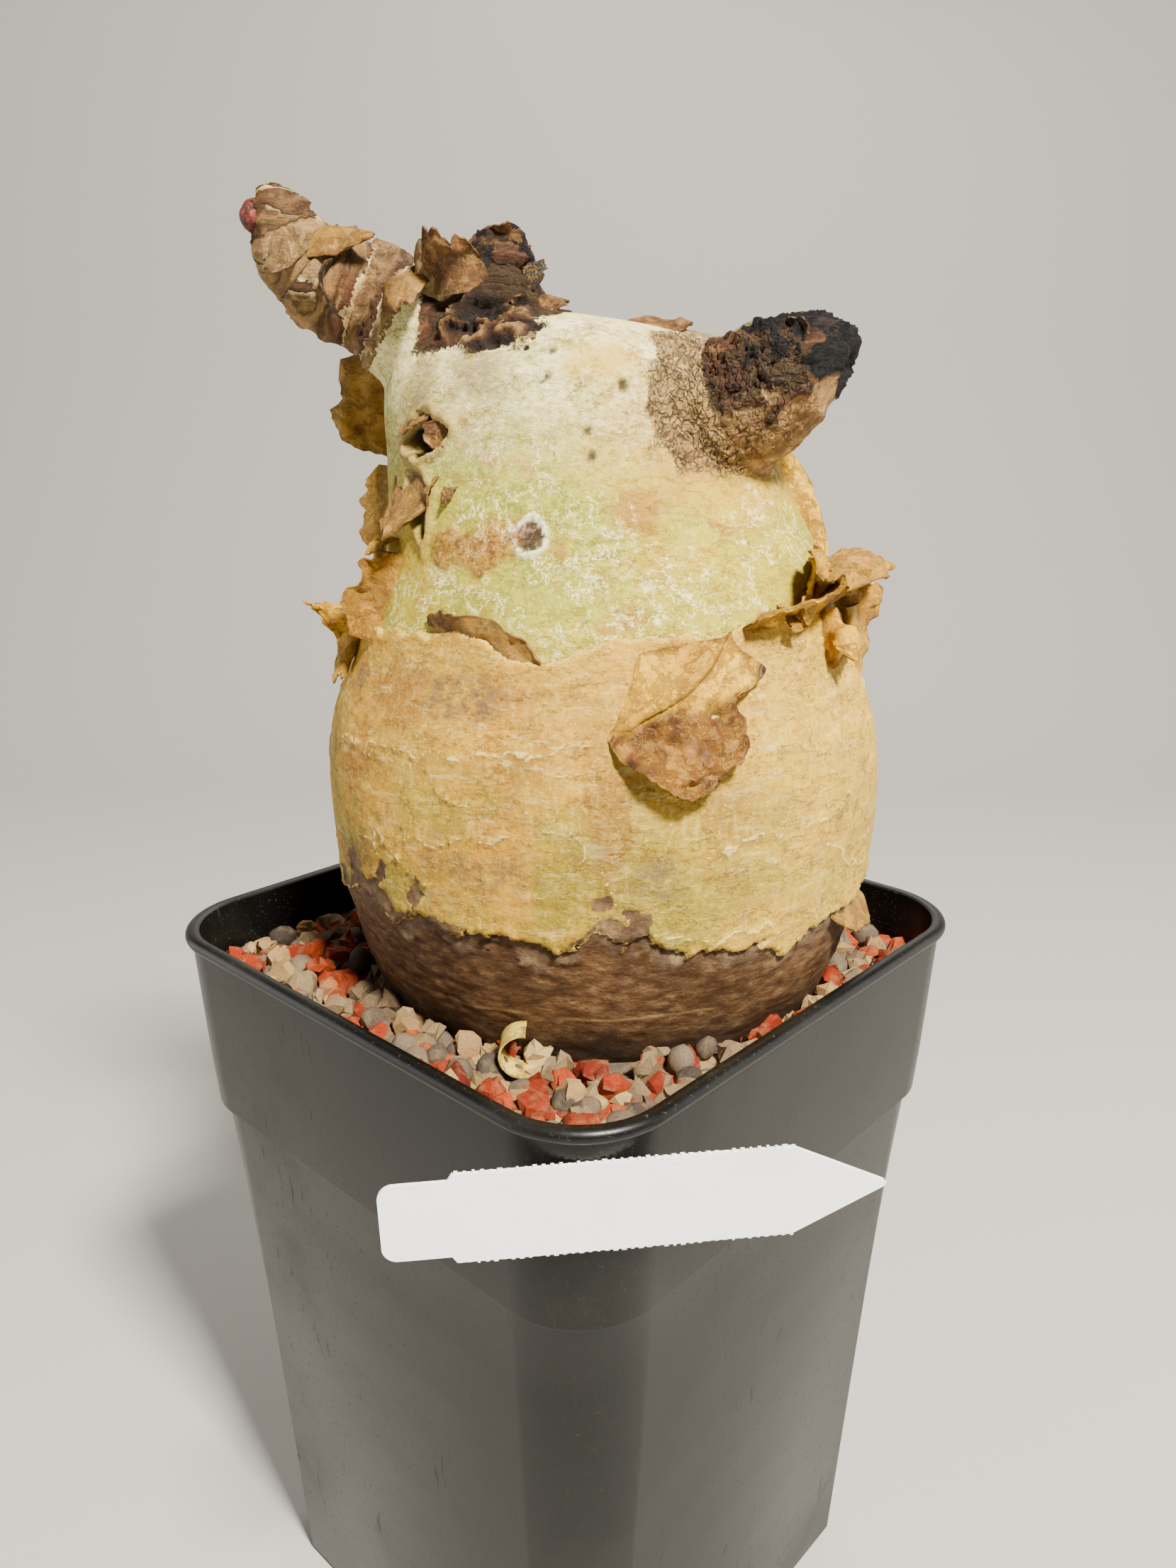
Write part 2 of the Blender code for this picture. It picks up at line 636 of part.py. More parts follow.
def plant_hole():
    """A plain hole round the buried foot of the caudex."""
    return body_loft(lift=PLANT_CLEARANCE, segments=48, top=0.300)


def build_mix():
    mix = loft(inner_rings(GAP, (FLOOR + GAP, *INNER_LEVELS, MIX_TOP)), "mix")
    finish_object("potting_mix", boolean(mix, [plant_hole()], "DIFFERENCE"))


def pebble_places(rng):
    """Seeded places on the bed, clear of the pot's wall, the plant and one another."""
    places = []
    turn = Matrix.Rotation(-POT_TURN, 3, "Z")
    half, corner, _ = collar_section(GRAVEL_BED, WALL)
    foot = caudex_radius(GRAVEL_BED + 0.004)
    centre = Vector((smooth_curve(CAUDEX_CENTRE_X, GRAVEL_BED, 1), CAUDEX_Y, 0.0))
    for _ in range(PEBBLE_TRIES):
        spot = Vector((rng.uniform(-half, half) * 1.4, rng.uniform(-half, half) * 1.4, 0.0))
        ball = rng.random() < BALL_SHARE
        radius = rng.uniform(*(BALL_RADIUS if ball else PEBBLE_RADIUS))
        own = turn @ spot
        clear = radius + PEBBLE_WALL_GAP
        over_x = max(abs(own.x) - (half - corner), 0.0)
        over_y = max(abs(own.y) - (half - corner), 0.0)
        if math.hypot(over_x, over_y) > corner - clear:
            continue
        if (spot - centre).length < foot + clear + 0.001:
            continue
        if (spot - Vector((*PEEL_SPOT, 0.0))).length < PEEL_ROOM + radius:
            continue
        if any((spot - p).length < PEBBLE_SPACING * (radius + r) for p, r, _ in places):
            continue
        places.append((spot, radius, ball))
    return places


def pebble(spot, radius, ball, rng):
    shape = bmesh.new()
    bmesh.ops.create_icosphere(shape, subdivisions=2 if ball else 1, radius=radius)
    if not ball:
        for vertex in shape.verts:
            vertex.co *= rng.uniform(0.82, 1.18)
    squash = (1.0, 1.0, 0.95) if ball else (rng.uniform(0.9, 1.2), rng.uniform(0.8, 1.0), 0.85)
    turn = Matrix.Rotation(rng.uniform(0, 2 * math.pi), 4, "Z")
    height = GRAVEL_BED + rng.uniform(*PEBBLE_UNEVEN)
    place = Matrix.Translation((spot.x, spot.y, height))
    shape.transform(place @ turn @ Matrix.Diagonal((*squash, 1.0)))
    mesh = bpy.data.meshes.new("pebble")
    shape.to_mesh(mesh)
    shape.free()
    return mesh


def build_gravel():
    rng = random.Random(PEBBLE_SEED)
    bed = loft(inner_rings(GAP, (MIX_TOP + GAP, GRAVEL_BED)), "bed")
    bed = boolean(bed, [plant_hole()], "DIFFERENCE")
    pebbles = [pebble(*place, rng) for place in pebble_places(rng)]
    finish_object("top_gravel", boolean(bed, pebbles, "UNION", solver="MANIFOLD"))


def build_fallen_peel():
    """A curled strip: a flat tail on the bed, then a loop that stands up."""
    place = Vector((PEEL_SPOT[0] + 0.0055, PEEL_SPOT[1], GRAVEL_BED + GAP + PEEL_THICKNESS / 2))
    heading = math.pi
    line = [place.copy()]
    for k in range(16):
        if k > 4:
            heading -= FALLEN_TURN
        place = place + FALLEN_STEP * Vector((math.cos(heading), 0.0, math.sin(heading)))
        line.append(place.copy())
    rows = []
    for p in line:
        rows.append([p + Vector((0, FALLEN_WIDTH * share, 0)) for share in (-0.5, 0.0, 0.5)])
    finish_object("fallen_peel", sheet(rows, "fallen_peel"))


# Label

def label_outline():
    """A pointed stake label with a narrower rounded head; x runs head to point."""
    half = LABEL_WIDTH / 2
    neck = half - 0.0018
    end = LABEL_LENGTH - LABEL_POINT
    points = [(LABEL_LENGTH - 0.001, -0.0009), (LABEL_LENGTH - 0.001, 0.0009), (end, half)]
    points += [(LABEL_HEAD, half), (LABEL_HEAD - 0.0012, neck), (LABEL_NECK + 0.003, neck)]
    for k in range(1, 5):
        angle = math.pi / 2 + k * math.pi / 10
        points.append((LABEL_NECK * (1 + math.cos(angle)), neck - LABEL_NECK * (1 - math.sin(angle))))
    lower = [(x, -y) for x, y in reversed(points[2:])]
    return points + lower


def build_label():
    """The label stands on edge against the pot's front corner, just under the lip."""
    outline = label_outline()
    shape = bmesh.new()
    ring = [shape.verts.new((x, 0.0, y)) for x, y in outline]
    face = shape.faces.new(ring)
    grown = bmesh.ops.extrude_face_region(shape, geom=[face])
    moved = [g for g in grown["geom"] if isinstance(g, bmesh.types.BMVert)]
    bmesh.ops.translate(shape, verts=moved, vec=(0.0, LABEL_THICKNESS, 0.0))
    bmesh.ops.recalc_face_normals(shape, faces=shape.faces)
    half, corner, _ = collar_section(LABEL_Z + LABEL_WIDTH / 2)
    facing = Vector((math.sin(LABEL_YAW), -math.cos(LABEL_YAW), 0.0))
    turned = POT_TURN - math.pi / 4
    corner_line = (half - corner) * math.sqrt(2)
    middle = Vector((corner_line * math.sin(turned), -corner_line * math.cos(turned), LABEL_Z))
    touch = middle + facing * (corner + GAP + LABEL_THICKNESS)
    along = Vector((math.cos(LABEL_YAW), math.sin(LABEL_YAW), 0.0))
    start = touch - along * (LABEL_LENGTH / 2 - LABEL_SHIFT)
    place = Matrix.Translation(start) @ Matrix.Rotation(LABEL_YAW, 4, "Z")
    tilt = Matrix.Rotation(-LABEL_ROLL, 4, "Y")
    shape.transform(place @ tilt)
    mesh = bpy.data.meshes.new("plant_label")
    shape.to_mesh(mesh)
    shape.free()
    finish_object("plant_label", mesh)


clear_scene()
build_pot()
build_mix()
build_gravel()
build_caudex()
build_fallen_peel()
build_label()
for part in bpy.data.objects:
    part.data.shade_smooth()
    part.data.set_sharp_from_angle(angle=math.radians(40))
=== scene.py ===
# %% [markdown]
# A potted cyphostemma, dressed for its portrait.
# The plant is a caudiciform succulent in its leafless season: a swollen, pear-shaped
# trunk with three cut branch stubs. Waxy grey-green skin covers its shoulders, papery
# tan bark its belly, and the bark is tearing away in flaps and curls. It stands in a
# deep square plastic pot with red, cream and grey gravel on top.
# The frame comes first: it holds every solid at its real size, so each piece below is
# made where the solid that it stands for already is.

# %% Load the frame
import json
import math

import bmesh
import bpy
import numpy as np
from mathutils import Matrix, Vector, noise

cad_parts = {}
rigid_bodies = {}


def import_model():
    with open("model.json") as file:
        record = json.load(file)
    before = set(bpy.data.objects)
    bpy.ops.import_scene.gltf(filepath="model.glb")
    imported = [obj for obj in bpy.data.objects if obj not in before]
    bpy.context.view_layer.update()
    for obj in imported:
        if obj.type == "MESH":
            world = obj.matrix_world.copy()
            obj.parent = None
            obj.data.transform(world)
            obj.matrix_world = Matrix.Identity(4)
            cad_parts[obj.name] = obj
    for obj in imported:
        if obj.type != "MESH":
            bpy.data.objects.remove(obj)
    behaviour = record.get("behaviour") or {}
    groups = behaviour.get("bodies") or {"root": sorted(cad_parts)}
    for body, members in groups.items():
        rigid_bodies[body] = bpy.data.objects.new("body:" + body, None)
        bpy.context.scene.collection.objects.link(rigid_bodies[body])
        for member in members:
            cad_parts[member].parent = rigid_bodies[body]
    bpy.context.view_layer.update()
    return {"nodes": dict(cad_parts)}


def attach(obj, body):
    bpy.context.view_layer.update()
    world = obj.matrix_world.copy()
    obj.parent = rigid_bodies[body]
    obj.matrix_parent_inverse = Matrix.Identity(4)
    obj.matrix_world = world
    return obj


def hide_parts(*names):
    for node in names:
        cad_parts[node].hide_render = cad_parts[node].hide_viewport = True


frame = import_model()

print("nodes:", sorted(frame["nodes"]))

# %% [markdown]
# The camera stands where a phone was held: a little above the pot's rim, less than
# half a metre away and looking down by 17 degrees. The pot is square, so its rim gives
# all of this away: the two vanishing directions of its sides fix the focal length and
# the tilt, and its side length fixes the distance.

# %% The camera
PHOTO_HEIGHT = 2212
FOCAL_PIXELS = 1629
CAMERA_PLACE = Vector((0.0062, -0.3657, 0.4248))
CAMERA_PITCH = math.radians(17.05)
CAMERA_ROLL = math.radians(0.12)

camera_data = bpy.data.cameras.new("camera")
camera_data.lens = 36.0 * FOCAL_PIXELS / PHOTO_HEIGHT
camera_data.clip_start = 0.01
camera = bpy.data.objects.new("camera", camera_data)
bpy.context.collection.objects.link(camera)
look = Matrix.Rotation(math.pi / 2 - CAMERA_PITCH, 4, "X") @ Matrix.Rotation(CAMERA_ROLL, 4, "Z")
camera.matrix_world = Matrix.Translation(CAMERA_PLACE) @ look
bpy.context.scene.camera = camera
print(f"lens {camera_data.lens:.1f} mm")

# %% [markdown]
# A pale floor that sweeps up into a backdrop keeps the picture plain. One soft light
# stands high to the right of the camera, as the sun does in the open. Two large ones
# stand at the sides: the pot's satin walls reflect them, and its front corner, which
# faces the darker side of the room, stays dark. A weak one behind the plant lights its
# upper edges.

# %% Floor, backdrop and lights
SWEEP_RADIUS = 0.6
SWEEP_BACK = 1.6
SWEEP_WIDTH = 8.0


def link(name, data):
    """Put a mesh, light or camera into the scene."""
    obj = bpy.data.objects.new(name, data)
    bpy.context.collection.objects.link(obj)
    return obj


def from_shape(shape, name):
    """Turn a bmesh into a mesh and let it go."""
    made = bpy.data.meshes.new(name)
    shape.to_mesh(made)
    shape.free()
    return made


def joined(meshes, name):
    """One mesh out of several."""
    shape = bmesh.new()
    for part in meshes:
        shape.from_mesh(part)
    return from_shape(shape, name)


def evaluated(obj):
    """The object's mesh with its modifiers applied; the object is removed."""
    graph = bpy.context.evaluated_depsgraph_get()
    made = bpy.data.meshes.new_from_object(obj.evaluated_get(graph))
    bpy.data.objects.remove(obj, do_unlink=True)
    return made


def dress(obj, material):
    """Give an object one material, in place of any that it has."""
    obj.data.materials.clear()
    obj.data.materials.append(material)


def floor_sweep():
    """Floor profile along Y, curving up to a wall behind the object."""
    profile = [(-4.0, 0.0), (SWEEP_BACK - SWEEP_RADIUS, 0.0)]
    for k in range(1, 13):
        a = k / 12 * math.pi / 2
        profile.append((SWEEP_BACK - SWEEP_RADIUS + SWEEP_RADIUS * math.sin(a),
                        SWEEP_RADIUS * (1 - math.cos(a))))
    profile.append((SWEEP_BACK, 4.0))
    points = [(x, y, z) for y, z in profile for x in (-SWEEP_WIDTH / 2, SWEEP_WIDTH / 2)]
    faces = [(2 * k, 2 * k + 1, 2 * k + 3, 2 * k + 2) for k in range(len(profile) - 1)]
    mesh = bpy.data.meshes.new("floor")
    mesh.from_pydata(points, [], faces)
    mesh.shade_smooth()
    return link("floor", mesh)


def area_light(name, place, target, size, power, colour):
    data = bpy.data.lights.new(name, "AREA")
    data.size = size
    data.energy = power
    data.color = colour
    light = link(name, data)
    light.location = place
    aim = (Vector(target) - Vector(place)).to_track_quat("-Z", "Y")
    light.rotation_euler = aim.to_euler()


floor = floor_sweep()
floor_material = bpy.data.materials.new("pale_floor")
floor_material.use_nodes = True
floor_shader = floor_material.node_tree.nodes["Principled BSDF"]
floor_shader.inputs["Base Color"].default_value = (0.46, 0.445, 0.41, 1)
floor_shader.inputs["Roughness"].default_value = 0.85
dress(floor, floor_material)

MIDDLE = (0.0, 0.0, 0.30)
LIGHTS = (
    ("key", (0.55, -0.95, 1.60), 0.26, 130, (1.0, 0.95, 0.865)),
    ("left_box", (-1.5, 0.0, 0.45), 1.3, 15, (1.0, 0.97, 0.93)),
    ("right_box", (1.5, 0.10, 0.45), 1.3, 11, (1.0, 0.97, 0.93)),
    ("back", (0.2, 1.2, 1.5), 0.9, 9, (1.0, 0.98, 0.95)),
)
for light_name, light_place, size, power, light_colour in LIGHTS:
    area_light(light_name, light_place, MIDDLE, size, power, light_colour)


def studio_world():
    """Even light from the sky and the back, and a dim front."""
    world = bpy.data.worlds.new("studio")
    world.use_nodes = True
    nodes, links = world.node_tree.nodes, world.node_tree.links
    way = nodes.new("ShaderNodeTexCoord")
    split = nodes.new("ShaderNodeSeparateXYZ")
    links.new(way.outputs["Generated"], split.inputs[0])
    ease = nodes.new("ShaderNodeMapRange")
    ease.interpolation_type = "SMOOTHSTEP"
    links.new(split.outputs["Y"], ease.inputs["Value"])
    for name, value in (("From Min", -0.9), ("From Max", 0.5), ("To Min", 0.10), ("To Max", 0.30)):
        ease.inputs[name].default_value = value
    sky = nodes["Background"]
    sky.inputs["Color"].default_value = (1.0, 0.985, 0.96, 1)
    links.new(ease.outputs["Result"], sky.inputs["Strength"])
    return world


bpy.context.scene.world = studio_world()

# %% [markdown]
# Every finish is a small network of nodes. Writing them out one by one takes many
# lines, so this helper makes a node, plugs in what it is given and hands back its
# output, and a material then reads like a recipe. Patterns read the object's own
# coordinates in metres: a noise of scale 100 has blotches about a centimetre across.

# %% A helper for materials
def tint(code):
    """A colour written as six hex digits, as linear light."""
    values = [int(code[k:k + 2], 16) / 255 for k in (0, 2, 4)]
    return (*[v / 12.92 if v < 0.04045 else ((v + 0.055) / 1.055) ** 2.4 for v in values], 1.0)


class Recipe:
    """Builds one material; each method adds a node and returns its output socket."""

    def __init__(self, name):
        self.material = bpy.data.materials.new(name)
        self.material.use_nodes = True
        self.tree = self.material.node_tree
        self.shader = self.tree.nodes["Principled BSDF"]

    def node(self, kind, **settings):
        made = self.tree.nodes.new(kind)
        for key, value in settings.items():
            setattr(made, key, value)
        return made

    def plug(self, socket, value):
        if isinstance(value, bpy.types.NodeSocket):
            self.tree.links.new(value, socket)
        elif isinstance(value, str):
            socket.default_value = tint(value)
        else:
            socket.default_value = value

    def place(self, stretch=(1, 1, 1), turn=(0, 0, 0), coords=None):
        mapping = self.node("ShaderNodeMapping")
        self.plug(mapping.inputs["Vector"], coords or self.node("ShaderNodeTexCoord").outputs["Object"])
        mapping.inputs["Scale"].default_value = stretch
        mapping.inputs["Rotation"].default_value = turn
        return mapping.outputs["Vector"]

    def warp(self, vector, scale, amount):
        """Bend a pattern's coordinates with noise, so that its lines wander."""
        drift = self.node("ShaderNodeTexNoise")
        self.plug(drift.inputs["Vector"], vector)
        drift.inputs["Scale"].default_value = scale
        centred = self.node("ShaderNodeVectorMath", operation="SUBTRACT")
        self.plug(centred.inputs[0], drift.outputs["Color"])
        centred.inputs[1].default_value = (0.5, 0.5, 0.5)
        scaled = self.node("ShaderNodeVectorMath", operation="SCALE")
        self.plug(scaled.inputs[0], centred.outputs[0])
        scaled.inputs["Scale"].default_value = amount
        moved = self.node("ShaderNodeVectorMath", operation="ADD")
        self.plug(moved.inputs[0], vector)
        self.plug(moved.inputs[1], scaled.outputs[0])
        return moved.outputs[0]

    def noise(self, scale, vector=None, detail=5.0, rough=0.6):
        made = self.node("ShaderNodeTexNoise")
        self.plug(made.inputs["Vector"], vector or self.place())
        made.inputs["Scale"].default_value = scale
        made.inputs["Detail"].default_value = detail
        made.inputs["Roughness"].default_value = rough
        return made.outputs["Fac"]

    def blots(self, scale, low, high, share=1.0, stretch=(1, 1, 1), turn=(0, 0, 0), **grain):
        """Soft-edged blots where a noise goes from low to high."""
        return self.band(self.noise(scale, self.place(stretch, turn), **grain), low, high, 0.0, share)

    def cells(self, scale, vector):
        """Distance to the border between random cells."""
        made = self.node("ShaderNodeTexVoronoi", feature="DISTANCE_TO_EDGE")
        self.plug(made.inputs["Vector"], vector)
        made.inputs["Scale"].default_value = scale
        return made.outputs["Distance"]

    def attribute(self, name, output="Fac"):
        return self.node("ShaderNodeAttribute", attribute_name=name).outputs[output]

    def part(self, axis, coords=None):
        """One of the three coordinates, X, Y or Z."""
        split = self.node("ShaderNodeSeparateXYZ")
        self.plug(split.inputs[0], coords or self.place())
        return split.outputs[axis]

    def lines(self, pattern, width):
        """1 on the winding lines where a noise crosses its middle."""
        return self.band(self.math("ABSOLUTE", self.minus(pattern, 0.5)), 0.0, width, 1.0, 0.0)

    def math(self, operation, a, b=0.0):
        made = self.node("ShaderNodeMath", operation=operation)
        self.plug(made.inputs[0], a)
        self.plug(made.inputs[1], b)
        return made.outputs[0]

    def times(self, a, b):
        return self.math("MULTIPLY", a, b)

    def plus(self, a, b):
        return self.math("ADD", a, b)

    def minus(self, a, b):
        return self.math("SUBTRACT", a, b)

    def most(self, a, b):
        return self.math("MAXIMUM", a, b)

    def band(self, value, low, high, to_low=0.0, to_high=1.0):
        """Smoothly map value from low..high to to_low..to_high."""
        made = self.node("ShaderNodeMapRange", interpolation_type="SMOOTHSTEP")
        self.plug(made.inputs["Value"], value)
        made.inputs["From Min"].default_value = low
        made.inputs["From Max"].default_value = high
        made.inputs["To Min"].default_value = to_low
        made.inputs["To Max"].default_value = to_high
        return made.outputs["Result"]

    def mix(self, factor, a, b):
        made = self.node("ShaderNodeMix", data_type="RGBA")
        self.plug(made.inputs[0], factor)
        self.plug(made.inputs[6], a)
        self.plug(made.inputs[7], b)
        return made.outputs[2]

    def over(self, colour, *washes):
        """Lay other colours over this one, each where its mask is, by a share of it."""
        for other, mask, share in washes:
            colour = self.mix(self.times(mask, share), colour, other)
        return colour

    def fade(self, colour, other, value, low, high, share=1.0):
        """Let this colour give way to another as a value goes from low to high."""
        return self.mix(self.band(value, low, high, 0.0, share), colour, other)

    def ramp(self, factor, *stops):
        """Colours along a factor: pairs of position and hex colour."""
        made = self.node("ShaderNodeValToRGB")
        self.plug(made.inputs["Fac"], factor)
        elements = made.color_ramp.elements
        while len(elements) < len(stops):
            elements.new(0.5)
        for element, (position, code) in zip(elements, stops):
            element.position = position
            element.color = tint(code)
        return made.outputs["Color"]

    def bump(self, height, distance, strength=1.0, under=None):
        made = self.node("ShaderNodeBump")
        self.plug(made.inputs["Height"], height)
        made.inputs["Distance"].default_value = distance
        made.inputs["Strength"].default_value = strength
        if under is not None:
            self.plug(made.inputs["Normal"], under)
        return made.outputs["Normal"]

    def finish(self, colour, roughness, normal=None, **fixed):
        self.plug(self.shader.inputs["Base Color"], colour)
        self.plug(self.shader.inputs["Roughness"], roughness)
        if normal is not None:
            self.plug(self.shader.inputs["Normal"], normal)
        for key, value in fixed.items():
            self.shader.inputs[key.replace("_", " ")].default_value = value
        return self.material


print("material helper ready")

# %% [markdown]
# The pot is moulded plastic: a tapered square body, a collar that is stepped out from
# it, and a rolled lip. A loft does it: rounded squares are stacked from the foot up
# the outside, over the lip and down the inside. The corners of the body flatten
# towards the foot, as they do on such pots, where the drainage slots are.

# %% Rounded squares, stacked into the pot
POT_TOP = 0.200
POT_HEIGHT = 0.266
POT_BASE = 0.1624
POT_TURN = math.radians(47.4)
WALL = 0.003
FLOOR = 0.0035
LIP_DEPTH = 0.0045
LIP_WIDTH = 0.0052
LIP_OVERHANG = 0.0019
STEP_HEIGHT = 0.2025
STEP_OUT = 0.0021
COLLAR_TAPER = 0.0027
CORNER_TOP = 0.0293
CORNER_BASE = 0.017
CORNER_FLAT = 0.9
CORNER_POINTS = 22
DRAIN_REACH = 0.030
DRAIN_WIDTH = 0.015
DRAIN_HEIGHT = 0.006
FOOT_EDGE = ((0.0015, 0.0), (0.0005, 0.0005))
FOOT_ROUND = 0.0018
STEP_LOW = STEP_HEIGHT - 0.0008
STEP_HIGH = STEP_HEIGHT + 0.0014


def square_ring(half, radius, flat, height):
    """A rounded square, its corners flattened towards straight cuts by flat."""
    ring = []
    turn = Matrix.Rotation(POT_TURN, 3, "Z")
    for corner, signs in enumerate(((1, 1), (-1, 1), (-1, -1), (1, -1))):
        middle = Vector(signs) * (half - radius)
        start = corner * math.pi / 2
        ends = [middle + radius * Vector((math.cos(a), math.sin(a)))
                for a in (start, start + math.pi / 2)]
        for i in range(CORNER_POINTS):
            share = i / (CORNER_POINTS - 1)
            a = start + share * math.pi / 2
            arc = middle + radius * Vector((math.cos(a), math.sin(a)))
            point = arc.lerp(ends[0].lerp(ends[1], share), flat)
            ring.append(turn @ Vector((point.x, point.y, height)))
    return ring


def body_section(height, inset=0.0):
    share = height / STEP_HEIGHT
    top_half = POT_TOP / 2 - LIP_OVERHANG - COLLAR_TAPER - STEP_OUT
    half = POT_BASE / 2 + share * (top_half - POT_BASE / 2) - inset
    radius = CORNER_BASE + share * (CORNER_TOP - STEP_OUT - CORNER_BASE) - inset
    return half, radius, CORNER_FLAT * (1 - share) ** 0.7


def collar_section(height, inset=0.0):
    share = (POT_HEIGHT - height) / (POT_HEIGHT - STEP_HEIGHT)
    half = POT_TOP / 2 - LIP_OVERHANG - COLLAR_TAPER * share - inset
    return half, CORNER_TOP - LIP_OVERHANG - inset, 0.0


def loft(rings, name):
    """A closed solid through rings of equal length, its two end rings capped."""
    count = len(rings[0])
    faces = []
    for k in range(len(rings) - 1):
        low, high = k * count, (k + 1) * count
        for i in range(count):
            j = (i + 1) % count
            faces.append((low + i, low + j, high + j, high + i))
    faces.append(tuple(reversed(range(count))))
    faces.append(tuple(range((len(rings) - 1) * count, len(rings) * count)))
    mesh = bpy.data.meshes.new(name)
    mesh.from_pydata([tuple(p) for ring in rings for p in ring], [], faces)
    return mesh


def pot_rings():
    lip_low = POT_HEIGHT - LIP_DEPTH
    half = POT_TOP / 2
    rings = [square_ring(*body_section(0.0, inset), level) for inset, level in FOOT_EDGE]
    for k in range(9):
        level = FOOT_ROUND + (STEP_LOW - 2 * FOOT_ROUND) * k / 8
        rings.append(square_ring(*body_section(level), level))
    low, high = body_section(STEP_HEIGHT), collar_section(STEP_HEIGHT)
    for blend in (0.2, 0.4, 0.6, 0.8):
        level = STEP_LOW + (STEP_HIGH - STEP_LOW) * blend
        ease = blend * blend * (3 - 2 * blend)
        sizes = [a + (b - a) * ease for a, b in zip(low, high)]
        rings.append(square_ring(*sizes, level))
    for k in range(1, 5):
        level = STEP_HIGH + (lip_low - STEP_HIGH) * k / 4
        rings.append(square_ring(*collar_section(level), level))
    bead = LIP_WIDTH / 2
    for k in range(13):
        a = -math.pi / 2 * 0.55 + k / 12 * (math.pi * 1.05)
        out = bead * math.cos(a)
        rise = min(math.sin(a), 1.0) * LIP_DEPTH / 2
        level = POT_HEIGHT - LIP_DEPTH / 2 + rise
        rings.append(square_ring(half - bead + out, CORNER_TOP - bead + out, 0.0, level))
    for level in (lip_low - 0.001, STEP_HEIGHT + 0.02, STEP_HEIGHT + 0.002):
        rings.append(square_ring(*collar_section(level, WALL), level))
    for level in (STEP_HEIGHT - 0.002, 0.140, 0.070, FLOOR):
        rings.append(square_ring(*body_section(level, WALL), level))
    return rings


def drain_cutter(k):
    cutter = bmesh.new()
    bmesh.ops.create_cube(cutter, size=1.0)
    size = Matrix.Diagonal((DRAIN_REACH, DRAIN_WIDTH, 2 * DRAIN_HEIGHT, 1.0))
    corner = Matrix.Translation((POT_BASE / 2 * math.sqrt(2) - CORNER_BASE / 2, 0.0, 0.0))
    turn = Matrix.Rotation(POT_TURN + math.pi / 4 + k * math.pi / 2, 4, "Z")
    cutter.transform(turn @ corner @ size)
    return link(f"drain_{k}", from_shape(cutter, "drain"))


blank = link("pot_blank", loft(pot_rings(), "pot"))
cutters = [drain_cutter(k) for k in range(4)]
for cutter in cutters:
    cut = blank.modifiers.new("drain", "BOOLEAN")
    cut.operation = "DIFFERENCE"
    cut.object = cutter
pot = link("pot_shell", evaluated(blank))
for cutter in cutters:
    bpy.data.objects.remove(cutter, do_unlink=True)
pot.data.shade_smooth()
pot.data.set_sharp_from_angle(angle=math.radians(38))
print("pot faces:", len(pot.data.polygons))

# %% [markdown]
# Black nursery plastic is never quite black outdoors. It is a dark olive grey with a
# satin skin, and it carries a film of dust: pale specks, rubbed patches and fine
# upright scratches. The dust dulls the shine where it lies.

# %% The pot's plastic
def pot_plastic():
    r = Recipe("dusty_black_plastic")
    upright = r.warp(r.place((1, 1, 0.12)), 60, 0.004)
    cloud = r.noise(16, detail=6, rough=0.62)
    streaks = r.noise(420, upright, detail=4, rough=0.7)
    specks = r.noise(900, detail=3, rough=0.8)
    film = r.times(r.band(cloud, 0.42, 0.76), 0.40)
    scratch = r.times(r.band(streaks, 0.58, 0.70), r.band(cloud, 0.42, 0.60))
    speck = r.band(specks, 0.60, 0.68)
    dust = r.most(film, r.most(r.times(scratch, 0.75), speck))
    base = r.fade("030303", "070706", r.noise(7, detail=3), 0.35, 0.65)
    colour = r.over(base, ("4a473f", dust, 0.38))
    shine = r.band(dust, 0.0, 1.0, 0.34, 0.70)
    grain = r.noise(2600, detail=2)
    normal = r.bump(grain, 0.00006, 0.5)
    normal = r.bump(r.noise(9, detail=2), 0.0016, 0.5, normal)
    return r.finish(colour, shine, normal, Specular_IOR_Level=0.28)


dress(pot, pot_plastic())
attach(pot, "root")
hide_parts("pot")

# %% [markdown]
# Potting mix fills the pot. It shows only in the drainage slots, so its plain solid
# stays and gets a dark, gritty finish.

# %% Potting mix
def gritty_mix():
    r = Recipe("dark_potting_mix")
    grit = r.noise(700, detail=6, rough=0.75)
    colour = r.ramp(grit, (0.3, "060302"), (0.52, "170d06"), (0.66, "2e2012"), (0.78, "503c22"))
    return r.finish(colour, 0.95, r.bump(grit, 0.0012))


mix = frame["nodes"]["potting_mix"]
dress(mix, gritty_mix())

# %% [markdown]
# The caudex is one grown body. Its outline was measured on the right and the left side
# of the plant, level by level, and those stations make a lathe-like form whose crown
# is flattened from front to back. The stubs are tubes along a few measured points.
# A voxel remesh welds all of them into a single skin, and a few rounds of smoothing
# turn the creases between them into the soft necks of a living branch.

# %% The caudex's form
CAUDEX_Y = 0.005
CAUDEX_BOTTOM = 0.195
CAUDEX_TOP = 0.4585
CAUDEX_PROFILE = np.array((
    (0.195, 0.0), (0.1972, 0.020), (0.208, 0.046), (0.224, 0.063), (0.251, 0.0770),
    (0.2787, 0.0853), (0.3135, 0.0884), (0.3375, 0.0862), (0.352, 0.0810),
    (0.3855, 0.0684), (0.415, 0.0600), (0.433, 0.0585), (0.4435, 0.0545),
    (0.4515, 0.0440), (0.4565, 0.0270), (0.4585, 0.0),
))
CAUDEX_CENTRE_X = np.array((
    (0.195, 0.011), (0.385, 0.0105), (0.400, 0.0075), (0.415, 0.0045), (0.4585, 0.0),
))
BELLY_DEPTH = 0.93
SHOULDER_DEPTH = 0.68
SHOULDER_FROM = 0.370
SHOULDER_FULL = 0.452
CROWN_SLOPE = 0.10
